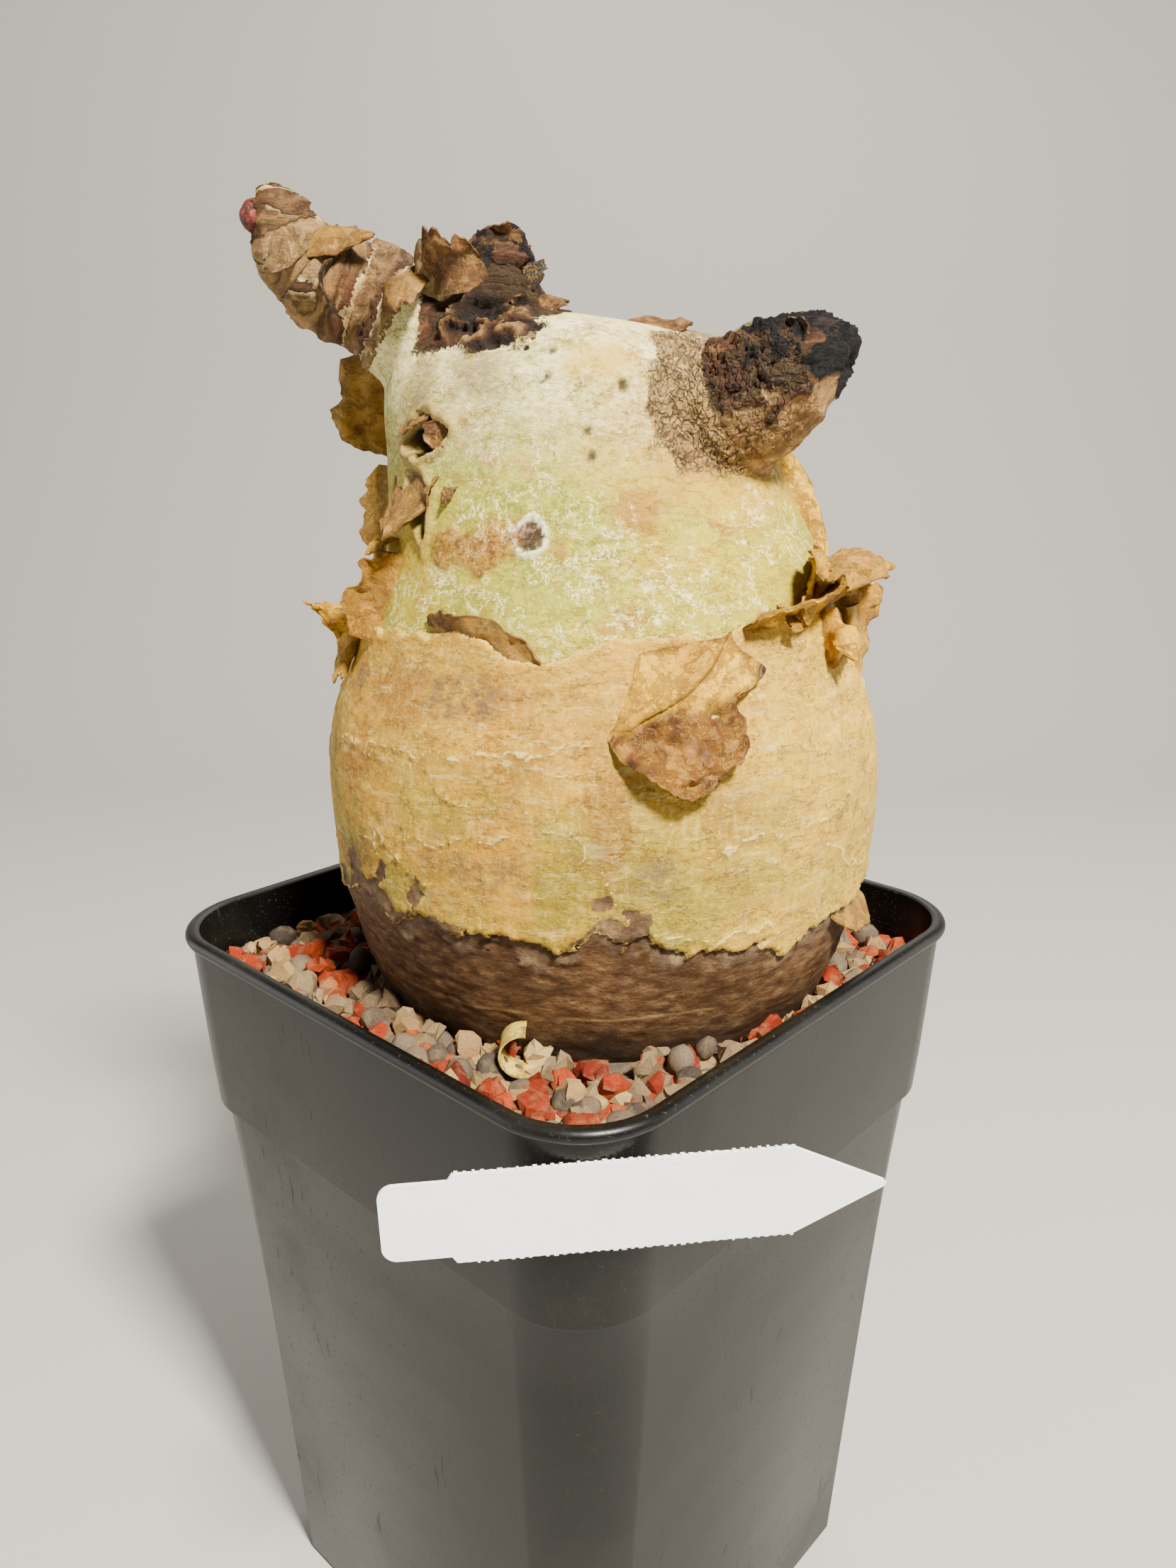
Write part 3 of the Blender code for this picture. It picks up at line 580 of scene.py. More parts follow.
CROWN_FROM = 0.436
ANGLE_STEP = 0.02
LEVEL_STEP = 0.001
BARK_THICKNESS = 0.0009
BARK_TOP = 0.368
BARK_BOTTOM = 0.287
LEFT_BRANCH = (
    ((-0.028, 0.008, 0.440), 0.0250), ((-0.044, 0.006, 0.4525), 0.0195),
    ((-0.058, 0.004, 0.4612), 0.0160), ((-0.0715, 0.001, 0.4668), 0.0142),
    ((-0.0790, -0.001, 0.4735), 0.0122), ((-0.0815, -0.002, 0.4800), 0.0100),
    ((-0.0800, -0.003, 0.4855), 0.0088), ((-0.0785, -0.003, 0.4885), 0.0055),
)
MIDDLE_STUB = (
    ((-0.024, 0.004, 0.438), 0.0260), ((-0.0215, 0.000, 0.4520), 0.0215),
    ((-0.0205, -0.002, 0.4620), 0.0152), ((-0.0200, -0.003, 0.4690), 0.0114),
    ((-0.0192, -0.003, 0.4745), 0.0086), ((-0.0185, -0.003, 0.4790), 0.0040),
)
RIGHT_STUB = (
    ((0.026, -0.004, 0.421), 0.0260), ((0.0430, -0.016, 0.4282), 0.0196),
    ((0.0525, -0.020, 0.4328), 0.0180), ((0.0610, -0.023, 0.4388), 0.0163),
    ((0.0690, -0.026, 0.4418), 0.0140), ((0.0735, -0.027, 0.4415), 0.0120),
    ((0.0765, -0.028, 0.4408), 0.0080),
)


def smooth_curve(stations, values):
    """A smooth curve through (x, y) stations, read at an array of x."""
    xs, ys = stations[:, 0], stations[:, 1]
    slopes = np.gradient(ys, xs)
    inner = (ys[2:] - ys[:-2]) / (xs[2:] - xs[:-2])
    slopes[1:-1] = inner
    values = np.clip(np.asarray(values, float), xs[0], xs[-1])
    k = np.clip(np.searchsorted(xs, values) - 1, 0, len(xs) - 2)
    span = xs[k + 1] - xs[k]
    t = (values - xs[k]) / span
    lift = (2 * t**3 - 3 * t**2 + 1) * ys[k] + (3 * t**2 - 2 * t**3) * ys[k + 1]
    return lift + (t**3 - 2 * t**2 + t) * span * slopes[k] + (t**3 - t**2) * span * slopes[k + 1]


def smoothstep(value, low, high):
    t = np.clip((value - low) / (high - low), 0.0, 1.0)
    return t * t * (3 - 2 * t)


def depth_share(height):
    return BELLY_DEPTH - (BELLY_DEPTH - SHOULDER_DEPTH) * smoothstep(height, SHOULDER_FROM, SHOULDER_FULL)


def skin(angle, height, lift=0.0):
    """Points on the caudex; angle 0 faces -Y and turns towards +X."""
    angle, height = np.broadcast_arrays(np.asarray(angle, float), np.asarray(height, float))
    radius = np.maximum(smooth_curve(CAUDEX_PROFILE, height), 0.0) + lift
    x = smooth_curve(CAUDEX_CENTRE_X, height) + radius * np.sin(angle)
    y = CAUDEX_Y - radius * depth_share(height) * np.cos(angle)
    drop = CROWN_SLOPE * np.clip(x, 0.0, 0.05) * smoothstep(height, CROWN_FROM, CAUDEX_TOP)
    return np.stack([x, y, height - drop], axis=-1)


def unit(v):
    v = np.asarray(v, float)
    return v / np.maximum(np.linalg.norm(v, axis=-1, keepdims=True), 1e-12)


def skin_ways(angle, level):
    """Unit directions across and up the skin at a place."""
    across = skin(angle + ANGLE_STEP, level) - skin(angle - ANGLE_STEP, level)
    upward = skin(angle, level + LEVEL_STEP) - skin(angle, level - LEVEL_STEP)
    return unit(across), unit(upward)


def body_rings(segments=120, count=90):
    rings = []
    for k in range(1, count):
        level = CAUDEX_BOTTOM + (1 - math.cos(math.pi * k / count)) / 2 * (CAUDEX_TOP - CAUDEX_BOTTOM)
        angles = np.linspace(0, 2 * math.pi, segments, endpoint=False)
        rings.append(skin(angles, level))
    return rings


def tube_rings(stations, segments=40, between=8):
    rows = []
    for (a, ra), (b, rb) in zip(stations, stations[1:]):
        for i in range(between):
            t = i / between
            rows.append((Vector(a).lerp(Vector(b), t), ra * (1 - t) + rb * t))
    rows.append((Vector(stations[-1][0]), stations[-1][1]))
    rings = []
    for k, (centre, radius) in enumerate(rows):
        axis = (rows[min(k + 1, len(rows) - 1)][0] - rows[max(k - 1, 0)][0]).normalized()
        side = Vector((0, 1, 0))
        u = (side - axis * side.dot(axis)).normalized()
        v = axis.cross(u)
        turns = [2 * math.pi * i / segments for i in range(segments)]
        rings.append([centre + radius * (math.cos(a) * u + math.sin(a) * v) for a in turns])
    return rings


CAUDEX_VOXEL = 0.00118
SMOOTH_ROUNDS = 12
forms = [loft(body_rings(), "body")]
forms += [loft(tube_rings(stations), "stub") for stations in (LEFT_BRANCH, MIDDLE_STUB, RIGHT_STUB)]
blank = link("caudex_blank", joined(forms, "caudex_form"))
weld = blank.modifiers.new("weld", "REMESH")
weld.mode = "VOXEL"
weld.voxel_size = CAUDEX_VOXEL
soften = blank.modifiers.new("soften", "SMOOTH")
soften.factor = 0.5
soften.iterations = SMOOTH_ROUNDS
caudex = link("caudex_skin", evaluated(blank))
print("caudex faces:", len(caudex.data.polygons))

# %% [markdown]
# Smooth skin is only the start. The relief is raised point by point in code, because
# each kind of it belongs to one region: the papery bark is a layer with torn edges
# that stand off, with long pale creases; the stubs are cracked and twisted; the right
# stub's collar is scaly; and there are three old wounds. The same measures are kept on
# the mesh as attributes, so that the colours follow the relief.

# %% Measures for the relief
TOP_TEARS = ((-32, 0.0060, 8), (-13, -0.0030, 6), (30, 0.0020, 8))
BOTTOM_TEARS = ((-60, 0.0060, 9), (-38, 0.0070, 5), (-2, 0.0060, 4), (40, -0.0080, 4), (62, 0.003, 8))
STUB_GIRTH = 0.012
FAR = 9.0
NEST_PLACE = (-0.0225, -0.0225, 0.4545)
NEST_SIZE = (0.017, 0.020, 0.0100)


def torn(angle, tears):
    """Peaks and dips of a torn edge: each has a place and a width in degrees."""
    total = 0.0
    for place, rise, width in tears:
        total = total + rise * np.exp(-(((np.degrees(angle) - place) / width) ** 2))
    return total


def bark_top(angle):
    wave = 0.0035 * np.sin(2 * angle + 0.6) + 0.0016 * np.sin(7 * angle + 1.0)
    return BARK_TOP + wave + 0.006 * np.sin(angle) ** 2 + torn(angle, TOP_TEARS)


def bark_bottom(angle):
    wave = 0.0025 * np.sin(3 * angle + 2.2) + 0.0012 * np.sin(11 * angle)
    return BARK_BOTTOM + wave + torn(angle, BOTTOM_TEARS)


def noise_at(points, scale, octaves=3):
    """Fractal noise, about -1 to 1, at each point."""
    return np.array([noise.fractal(Vector(p) * scale, 0.9, 2.1, octaves) for p in points])


def ridges(points, scale, octaves=3):
    """1 along sharp winding ridges, falling off between them."""
    return 1 - 2 * np.abs(noise_at(points, scale, octaves))


def cell_edges(points, scale):
    """Distance to the border between random cells, 0 on the border."""
    gaps = []
    for p in points:
        near = noise.voronoi(Vector(p) * scale)[0]
        gaps.append(near[1] - near[0])
    return np.array(gaps)


def branch_measures(points, stations):
    """Gap to a stub's surface, share of its length, side (-1 below it, 1 on top) and
    its skin unrolled: metres along it and metres round it."""
    path = np.array([p for p, _ in stations])
    radii = np.array([r for _, r in stations])
    starts = np.concatenate([[0.0], np.cumsum(np.linalg.norm(np.diff(path, axis=0), axis=1))])
    best = np.full(len(points), FAR)
    along = np.zeros(len(points))
    side = np.zeros(len(points))
    unrolled = np.zeros((len(points), 3))
    for k in range(len(path) - 1):
        step = path[k + 1] - path[k]
        t = np.clip(((points - path[k]) @ step) / (step @ step), 0, 1)
        offset = points - (path[k] + t[:, None] * step)
        radius = radii[k] * (1 - t) + radii[k + 1] * t
        gap = np.linalg.norm(offset, axis=1) - radius
        closer = gap < best
        best[closer] = gap[closer]
        along[closer] = ((k + t) / (len(path) - 1))[closer]
        side[closer] = (offset[:, 2] / radius)[closer]
        turn = np.arctan2(offset[:, 2], -offset[:, 1])
        metres = starts[k] + t * np.linalg.norm(step)
        rolled = np.stack([metres, STUB_GIRTH * np.cos(turn), STUB_GIRTH * np.sin(turn)], axis=-1)
        unrolled[closer] = rolled[closer]
    return best, along, side, unrolled


def keep_measures(mesh, measures):
    """Store named measures, one number for each point, on a mesh."""
    for name, values in measures.items():
        layer = mesh.attributes.new(name, "FLOAT", "POINT")
        layer.data.foreach_set("value", values.astype(np.float32))


skin_mesh = caudex.data
count = len(skin_mesh.vertices)
points, normals = np.empty((2, count * 3))
skin_mesh.vertices.foreach_get("co", points)
skin_mesh.vertices.foreach_get("normal", normals)
points, normals = points.reshape(-1, 3), normals.reshape(-1, 3)
angle = np.arctan2(points[:, 0] - smooth_curve(CAUDEX_CENTRE_X, points[:, 2]), CAUDEX_Y - points[:, 1])
height = points[:, 2]
frayed = noise_at(points, 130, 4)
over_top = height - bark_top(angle) - 0.0022 * frayed
jagged = noise_at(points + 3.0, 120, 4) + 0.45 * noise_at(points + 6.0, 420, 3)
over_bottom = height - bark_bottom(angle) - 0.0036 * jagged
on_bark = smoothstep(-over_top, -0.0004, 0.0008) * smoothstep(over_bottom, -0.0004, 0.0008)
edge_top = np.exp(-np.abs(over_top + 0.001) / 0.0025) * on_bark
edge_bottom = np.exp(-np.abs(over_bottom - 0.0015) / 0.003) * on_bark
print(f"{count} points, {on_bark.mean():.0%} of them on bark")

# %% [markdown]
# Each stub has its own character. The left branch is wound with bands of old bark,
# the middle one is a nest of dark folds, and the right one is charred at its end and
# smooth and tan underneath, with a scaly collar where it leaves the body.

# %% Relief of the stubs
gap_left, along_left, _, roll_left = branch_measures(points, LEFT_BRANCH)
gap_middle, along_middle, _, roll_middle = branch_measures(points, MIDDLE_STUB)
gap_right, along_right, side_right, roll_right = branch_measures(points, RIGHT_STUB)
on_left = smoothstep(-gap_left, -0.0042, -0.0006) * smoothstep(along_left, 0.12, 0.30)
on_middle = smoothstep(-gap_middle, -0.0050, -0.0010) * smoothstep(along_middle, 0.03, 0.14)
on_right = smoothstep(-gap_right, -0.0042, -0.0006) * smoothstep(along_right, 0.14, 0.28)
stub = np.maximum(np.maximum(on_left, on_middle), on_right)
nest_gap = np.linalg.norm((points - NEST_PLACE) / NEST_SIZE, axis=1)
nest = (1 - smoothstep(nest_gap + 0.40 * frayed, 0.60, 1.10)) * (points[:, 1] < 0)
stub = np.maximum(stub, nest)
rough_right = on_right * smoothstep(side_right + 0.5 * along_right + 0.30 * frayed, -0.15, 0.20)
gnarled = np.maximum(np.maximum(np.maximum(on_left * 0.75, on_middle), rough_right), nest)
char = on_right * smoothstep(along_right + 0.20 * frayed + 0.12 * side_right, 0.58, 0.72)
char = np.maximum(char, on_middle * smoothstep(along_middle + 0.35 * frayed, 0.45, 0.95) * 0.75)
char = np.maximum(char, on_left * smoothstep(along_left + 0.3 * frayed, 0.86, 1.05) * 0.35)
near_right = smoothstep(-gap_right, -0.024, -0.004) * smoothstep(along_right, 0.0, 0.08)
scaly = smoothstep(-gap_right + 0.003 * frayed, -0.013, -0.004) * smoothstep(along_right, 0.08, 0.16)
scaly *= (1 - smoothstep(along_right, 0.45, 0.62)) * smoothstep(side_right, -1.05, -0.45)
collar = noise_at(points + 2.0, 75, 3) + 1.6 * smoothstep(-gap_right, -0.008, -0.002)
scaly *= smoothstep(collar, -0.35, 0.15)

belongs = np.argmin(np.stack([gap_left, gap_middle, gap_right]), axis=0)
roll = np.choose(belongs[:, None], (roll_left, roll_middle, roll_right))
roll = roll + 0.0016 * np.stack([frayed, noise_at(points + 5.0, 130, 3), frayed * 0], axis=-1)
fold = ridges(roll * (0.8, 0.55, 0.55) + 7.0, 105, 3)
crack = ridges(roll * (1.0, 0.35, 0.35) + 3.0, 330, 3)
relief = 0.0010 * noise_at(points, 22, 2)
wander = np.stack([crack, fold, frayed], axis=-1)
shards = smoothstep(cell_edges(roll * (1.0, 0.8, 0.8) + 0.0022 * wander, 170), 0.0, 0.22) - 0.5
relief += gnarled * (0.0014 * (fold - 0.4) + (0.0003 + 0.0007 * (1 - on_left)) * (crack - 0.3))
relief += on_middle * 0.0024 * (ridges(roll_middle * (0.5, 1.0, 1.0) + 2.0, 62, 2) - 0.5)
relief += np.maximum(rough_right, on_middle * 0.5) * 0.0013 * shards
wander = 0.004 * np.stack([fold, crack, frayed], axis=-1)
nest_fold = ridges(points * (0.8, 0.8, 1.7) + wander, 105, 2)
relief += nest * (0.0034 * (nest_fold - 0.35) + 0.0010)
relief += char * 0.0010 * ridges(points, 330, 3)
spiral = np.arctan2(points[:, 2] - 0.465, points[:, 1]) / (2 * math.pi)
bands = (along_left * 5.5 + spiral + 0.22 * frayed) % 1.0
relief += on_left * 0.0016 * (bands - 0.5)
fibre = noise_at(roll * (0.35, 1.0, 1.0), 520, 3)
relief += gnarled * 0.0003 * fibre
bent = points + 0.0036 * np.stack([frayed, crack, fold], axis=-1)
scales = np.minimum(cell_edges(bent, 300), 1.3 * cell_edges(bent + 1.0, 560))
relief += scaly * (0.0009 * smoothstep(scales, 0.0, 0.25) - 0.0002)
print(f"gnarled share {gnarled.mean():.1%}, charred share {char.mean():.1%}")

# %% [markdown]
# The bark's own relief is slight: the layer's thickness, edges that curl outwards a
# little, and a few long creases. Most creases lie where slow noise crosses zero, so
# they wind across the belly without ever branching into a net; the ones that give the
# front its face are led along a few points. Low down the layer is eaten away.

# %% Relief of the bark
CREASES = (
    ((-66, 0.3370), (-40, 0.3395), (-18, 0.3420), (-2, 0.3465)),
    ((-56, 0.3090), (-40, 0.3150), (-22, 0.3195), (-7, 0.3215)),
    ((-1, 0.3115), (2, 0.3020), (5, 0.2952), (7, 0.2890)),
    ((5, 0.2952), (20, 0.2905), (37, 0.2896)),
    ((19, 0.3136), (30, 0.3200), (38, 0.3170), (47, 0.3196)),
)
CREASE_WIDTH = 0.0007
BELLY_RADIUS = 0.085


def along_path(path):
    """1 on a line through (degrees, height) points of the skin, fading out beside it."""
    flat = np.stack([angle * BELLY_RADIUS, height], axis=-1) + 0.0035 * frayed[:, None] * (0.3, 1.0)
    near = np.full(len(flat), FAR)
    ends = [np.array((math.radians(turn) * BELLY_RADIUS, level)) for turn, level in path]
    for a, b in zip(ends, ends[1:]):
        t = np.clip(((flat - a) @ (b - a)) / ((b - a) @ (b - a)), 0, 1)
        near = np.minimum(near, np.linalg.norm(flat - (a + t[:, None] * (b - a)), axis=1))
    return np.exp(-((near / CREASE_WIDTH) ** 2))


drift = 0.0035 * frayed[:, None] * (0, 0, 1)
slow = noise_at(points * (1, 1, 3.0) + drift + 0.9, 11, 1)
slower = noise_at(points * (1, 1, 2.2) + drift + 4.0, 19, 1)
crease = np.exp(-((slow / 0.012) ** 2)) * smoothstep(noise_at(points + 1.7, 30, 2), -0.10, 0.25)
short = np.exp(-((slower / 0.013) ** 2)) * smoothstep(noise_at(points, 33, 2), 0.05, 0.3)
crease = np.maximum(crease, short)
for path in CREASES:
    crease = np.maximum(crease, along_path(path))
relief += on_bark * (BARK_THICKNESS + 0.0006 * crease)
relief += on_bark * 0.00022 * ridges(points * (1.0, 1.0, 3.0), 110, 3)
relief += 0.0008 * edge_top + 0.0010 * edge_bottom
below = smoothstep(-over_bottom, 0.0, 0.002)
relief += below * 0.00035 * noise_at(points * (1, 1, 2.5), 160, 4)
under_layer = below * (1 - smoothstep(-over_bottom + 0.006 * frayed, 0.003, 0.006))
relief += 0.0005 * under_layer
turned = np.degrees(angle)
margin = np.exp(-(((turned + 55) / 24) ** 2)) + 0.8 * np.exp(-(((turned - 2) / 9) ** 2))
bitten = noise_at(points * (1, 1, 1.3) + 9.0, 95, 4) + margin - over_bottom / 0.012
eaten = smoothstep(bitten, 0.05, 0.35) * on_bark * np.clip(margin * 1.6, 0, 1)
relief -= 0.0006 * eaten

# %% [markdown]
# Three old wounds show on the front: a diamond-shaped hole where a leaf stalk tore
# away, with ragged lips and a tear below it; a round scar with a thick pale rim; and a
# rough scab beside it. Each is a bump or a dent that depends only on the distance to
# a point of the skin, measured across and up the surface. Small dark dots and stains
# in tan, rust and mauve are placed in the same way.

# %% Old wounds
WOUND_REACH = 0.03


def local_frame(turn_degrees, level):
    """A point of the skin, its across and its up direction."""
    a = math.radians(turn_degrees)
    return skin(a, level), *skin_ways(a, level)


def around(frame_at):
    """Metres across and up from a place on the skin, for the points close to it."""
    centre, across, upward = frame_at
    offset = points - centre
    near = np.linalg.norm(offset, axis=1) < WOUND_REACH
    return np.where(near, offset @ across, FAR), np.where(near, offset @ upward, FAR)


def wound(shape, low, high, rim_at, rim_width):
    """The dent inside a shape measure, and the raised rim round it."""
    return 1 - smoothstep(shape, low, high), np.exp(-((shape - rim_at) / rim_width) ** 2)


HOLE = local_frame(-48.0, 0.4230)
TEAR = local_frame(-52.0, 0.4065)
SCAR = local_frame(-15.5, 0.3972)
SCAB = local_frame(-33.0, 0.3930)
DOTS = ((3.0, 0.4180, 0.0016), (-5.5, 0.4456, 0.0014), (-7.0, 0.4388, 0.0011), (13.5, 0.4364, 0.0018),
        (2.5, 0.4248, 0.0013), (-9.0, 0.4375, 0.0008))
u, v = around(HOLE)
diamond = np.abs(u - 0.25 * v) / 0.0105 + np.abs(v + 0.10 * u) / 0.0075 + 0.30 * frayed + 0.15 * crack
hole_deep, hole_rim = wound(diamond, 0.70, 1.0, 1.20, 0.22)
u, v = around(TEAR)
tear_shape = np.abs(u + 0.40 * v) / 0.0062 + np.abs(v) / 0.0135 + 0.30 * frayed
tear, tear_rim = wound(tear_shape, 0.7, 1.05, 1.15, 0.20)
u, v = around(SCAR)
scar_shape = np.hypot(u / 0.0042, (v + 0.25 * u) / 0.0056) + 0.34 * frayed
scar, scar_rim = wound(scar_shape, 0.72, 0.95, 1.05, 0.13)
u, v = around(SCAB)
scab_shape = np.hypot(u / 0.0150, (v + 0.18 * u) / 0.0066) + 0.40 * frayed
scab = 1 - smoothstep(scab_shape, 0.62, 1.1)
dot = np.zeros(count)
for turn, level, size in DOTS:
    u, v = around(local_frame(turn, level))
    dot = np.maximum(dot, 1 - smoothstep(np.hypot(u, 0.8 * v) / size + 0.3 * frayed, 0.5, 1.1))


def patches(*places):
    """Ragged blots on the skin, each given by its place, width and height."""
    total = np.zeros(count)
    for turn, level, wide, tall in places:
        u, v = around(local_frame(turn, level))
        shape = np.hypot(u / wide, v / tall) + 0.40 * frayed + 0.20 * jagged
        total = np.maximum(total, 1 - smoothstep(shape, 0.35, 1.25))
    return total


tan_patch = patches((10.5, 0.4440, 0.012, 0.007))
rust_patch = patches((12, 0.4040, 0.011, 0.010), (-44, 0.3536, 0.022, 0.012), (0.5, 0.3268, 0.010, 0.022),
                     (31, 0.4210, 0.014, 0.008), (52, 0.3560, 0.018, 0.012), (-24, 0.3960, 0.016, 0.008))
mauve_patch = patches((8.5, 0.3100, 0.008, 0.007), (-21.5, 0.3088, 0.017, 0.006),
                      (-27.5, 0.4400, 0.010, 0.010), (-50, 0.4330, 0.008, 0.012),
                      (-29, 0.3560, 0.018, 0.007), (-60, 0.3020, 0.016, 0.007))
fine_crack = ridges(points, 420, 2)
relief += -0.0045 * hole_deep + 0.0017 * hole_rim
relief += tear * (-0.0014 + 0.0016 * fold) + 0.0012 * tear_rim
relief += scar * (-0.0005 + 0.0010 * fine_crack) + 0.0011 * scar_rim
relief += scab * (0.0003 + 0.0006 * fine_crack) - 0.0006 * dot
points += normals * relief[:, None]
skin_mesh.vertices.foreach_set("co", points.ravel())
skin_mesh.update()
measures = {
    "over_top": over_top * 100, "over_bottom": over_bottom * 100, "stub": stub, "char": char,
    "gnarled": gnarled, "near_right": near_right, "scaly": scaly, "crease": crease * on_bark,
    "under_layer": under_layer, "eaten": eaten, "nest": nest, "nest_fold": nest_fold,
    "tan_patch": tan_patch, "rust_patch": rust_patch, "mauve_patch": mauve_patch,
    "hole": hole_deep, "hole_rim": hole_rim, "tear": tear, "tear_rim": tear_rim,
    "scar": scar, "scar_rim": scar_rim, "scab": scab, "dot": dot,
    "on_right": on_right, "on_left": on_left,
}
keep_measures(skin_mesh, measures)
unrolled = skin_mesh.attributes.new("roll", "FLOAT_VECTOR", "POINT")
unrolled.data.foreach_set("vector", roll.astype(np.float32).ravel())
skin_mesh.shade_smooth()
print(f"relief from {relief.min() * 1000:.2f} to {relief.max() * 1000:.2f} mm")

# %% [markdown]
# The skin's colours follow those measures. Above the bark's torn edge the plant is
# grey-green, clouded with white wax that here and there draws a net of fine lines.
# The bark is ochre with paler creases, mossy shades low down and a few mauve bruises.
# Under its lower edge the skin is brown and old.

# %% The caudex's skin
def green_skin(r, speckle, grain, broad):
    """Waxy skin of the shoulders, from olive green to cream and tan."""
    colour = r.ramp(broad, (0.30, "77801c"), (0.44, "8e8c26"), (0.56, "a8961e"), (0.70, "ae8c10"))
    colour = r.fade(colour, "beb53c", grain, 0.42, 0.60, 0.55)
    colour = r.fade(colour, "dccb50", speckle, 0.50, 0.64, 0.45)
    blush = r.blots(44, 0.53, 0.63, stretch=(1, 1, 1.5), detail=6, rough=0.7)
    blush = r.most(r.times(blush, 0.65), r.times(r.attribute("rust_patch"), 0.75))
    colour = r.mix(blush, colour, "98631c")
    colour = r.over(colour, ("c0901c", r.attribute("near_right"), 0.75))
    mottle = r.noise(120, r.warp(r.place(), 40, 0.010), detail=9, rough=0.78)
    net = r.lines(r.noise(62, r.warp(r.place(), 30, 0.02), 6, 0.7), 0.016)
    patches = r.blots(26, 0.44, 0.56, detail=4)
    net = r.times(net, r.times(patches, r.band(speckle, 0.38, 0.50)))
    fleck = r.blots(150, 0.55, 0.62, detail=9, rough=0.85)
    cloud = r.times(r.band(r.noise(32, r.place(turn=(0.4, 0.9, 0.2)), detail=4), 0.42, 0.60), fleck)
    crown = r.times(r.band(r.part("Z"), 0.406, 0.448), r.band(mottle, 0.36, 0.60, 0.08, 0.85))
    crown = r.times(crown, r.band(r.attribute("near_right"), 0.2, 0.9, 1.0, 0.80))
    wax = r.most(r.most(r.times(cloud, 0.85), net), crown)
    colour = r.mix(wax, colour, "f4e6ac")
    high = r.band(r.part("Z"), 0.405, 0.435)
    salt = r.noise(520, r.place((1, 1, 1.5)), detail=8, rough=0.85)
    colour = r.mix(r.times(r.band(salt, 0.50, 0.60, 0.0, 0.5), high), colour, "fff8d0")
    colour = r.mix(r.times(r.band(salt, 0.49, 0.40, 0.0, 0.5), high), colour, "857238")
    shade = r.times(r.band(mottle, 0.46, 0.34), high)
    stain = r.times(r.attribute("mauve_patch"), r.band(mottle, 0.40, 0.55, 0.4, 1.0))
    pores = r.blots(1100, 0.62, 0.70, detail=2)
    colour = r.over(colour, ("8a7438", shade, 0.60), ("c79a16", r.attribute("tan_patch"), 0.70),
                    ("6e5836", stain, 0.75), ("5c5520", pores, 0.5))
    return colour, wax


def bark_skin(r, speckle, grain, broad):
    """Papery outer bark of the belly."""
    colour = r.ramp(broad, (0.30, "a46c20"), (0.43, "be881a"), (0.56, "c8941a"), (0.72, "ae7020"))
    low = r.band(r.part("Z"), 0.350, 0.312)
    moss = r.times(r.blots(22, 0.44, 0.58, detail=7, rough=0.7), r.plus(low, 0.55))
    rusty = r.blots(27, 0.52, 0.62, stretch=(1, 1, 1.3), turn=(0.3, 0.2, 0), detail=7, rough=0.7)
    rusty = r.most(rusty, r.attribute("rust_patch"))
    colour = r.over(colour, ("87801e", moss, 0.50), ("84521a", rusty, 0.65))
    right = r.band(r.part("X"), 0.02, 0.075, 0.0, 0.6)
    pale = r.blots(64, 0.50, 0.60, 0.5, stretch=(1, 1, 1.6), detail=8, rough=0.8)
    colour = r.mix(r.most(right, pale), colour, "c9a62e")
    colour = r.mix(r.band(speckle, 0.36, 0.50, 0.34, 0.0), colour, "60461a")
    colour = r.fade(colour, "e8cc58", speckle, 0.52, 0.66, 0.28)
    colour = r.fade(colour, "f0d878", grain, 0.54, 0.66, 0.25)
    level = r.noise(330, r.place((0.25, 0.25, 1.2)), detail=6, rough=0.7)
    colour = r.fade(colour, "845618", level, 0.46, 0.36, 0.30)
    colour = r.fade(colour, "f0dc90", level, 0.54, 0.66, 0.30)
    upright = r.noise(430, r.place((1, 1, 0.30)), detail=7, rough=0.75)
    colour = r.fade(colour, "f2dc84", upright, 0.52, 0.66, 0.22)
    colour = r.fade(colour, "6a4a18", upright, 0.46, 0.36, 0.22)
    bruise = r.blots(31, 0.62, 0.68, stretch=(1, 1, 1.6), turn=(0.9, 0.4, 0), detail=6, rough=0.7)
    bruise = r.most(bruise, r.attribute("mauve_patch"))
    bruise = r.times(bruise, r.blots(300, 0.42, 0.54, detail=7, rough=0.8))
    # The wrinkle lines are painted shade: dark where the bump sinks them as fine hollows.
    wrinkle = r.lines(r.noise(46, r.place((1, 1, 2.6)), detail=8, rough=0.65), 0.012)
    wrinkle = r.times(wrinkle, r.band(grain, 0.40, 0.56, 0.2, 1.0))
    vein = r.lines(r.noise(20, r.place((1, 1, 2.2), (0.2, 0.5, 0)), detail=9, rough=0.72), 0.005)
    vein = r.times(vein, r.blots(24, 0.44, 0.56, detail=3))
    vein = r.most(vein, r.band(r.attribute("crease"), 0.45, 0.95, 0.0, 0.8))
    colour = r.over(colour, ("5e4c40", bruise, 0.60), ("5e4314", wrinkle, 0.50), ("f6e090", vein, 0.62))
    return colour, r.minus(vein, wrinkle)


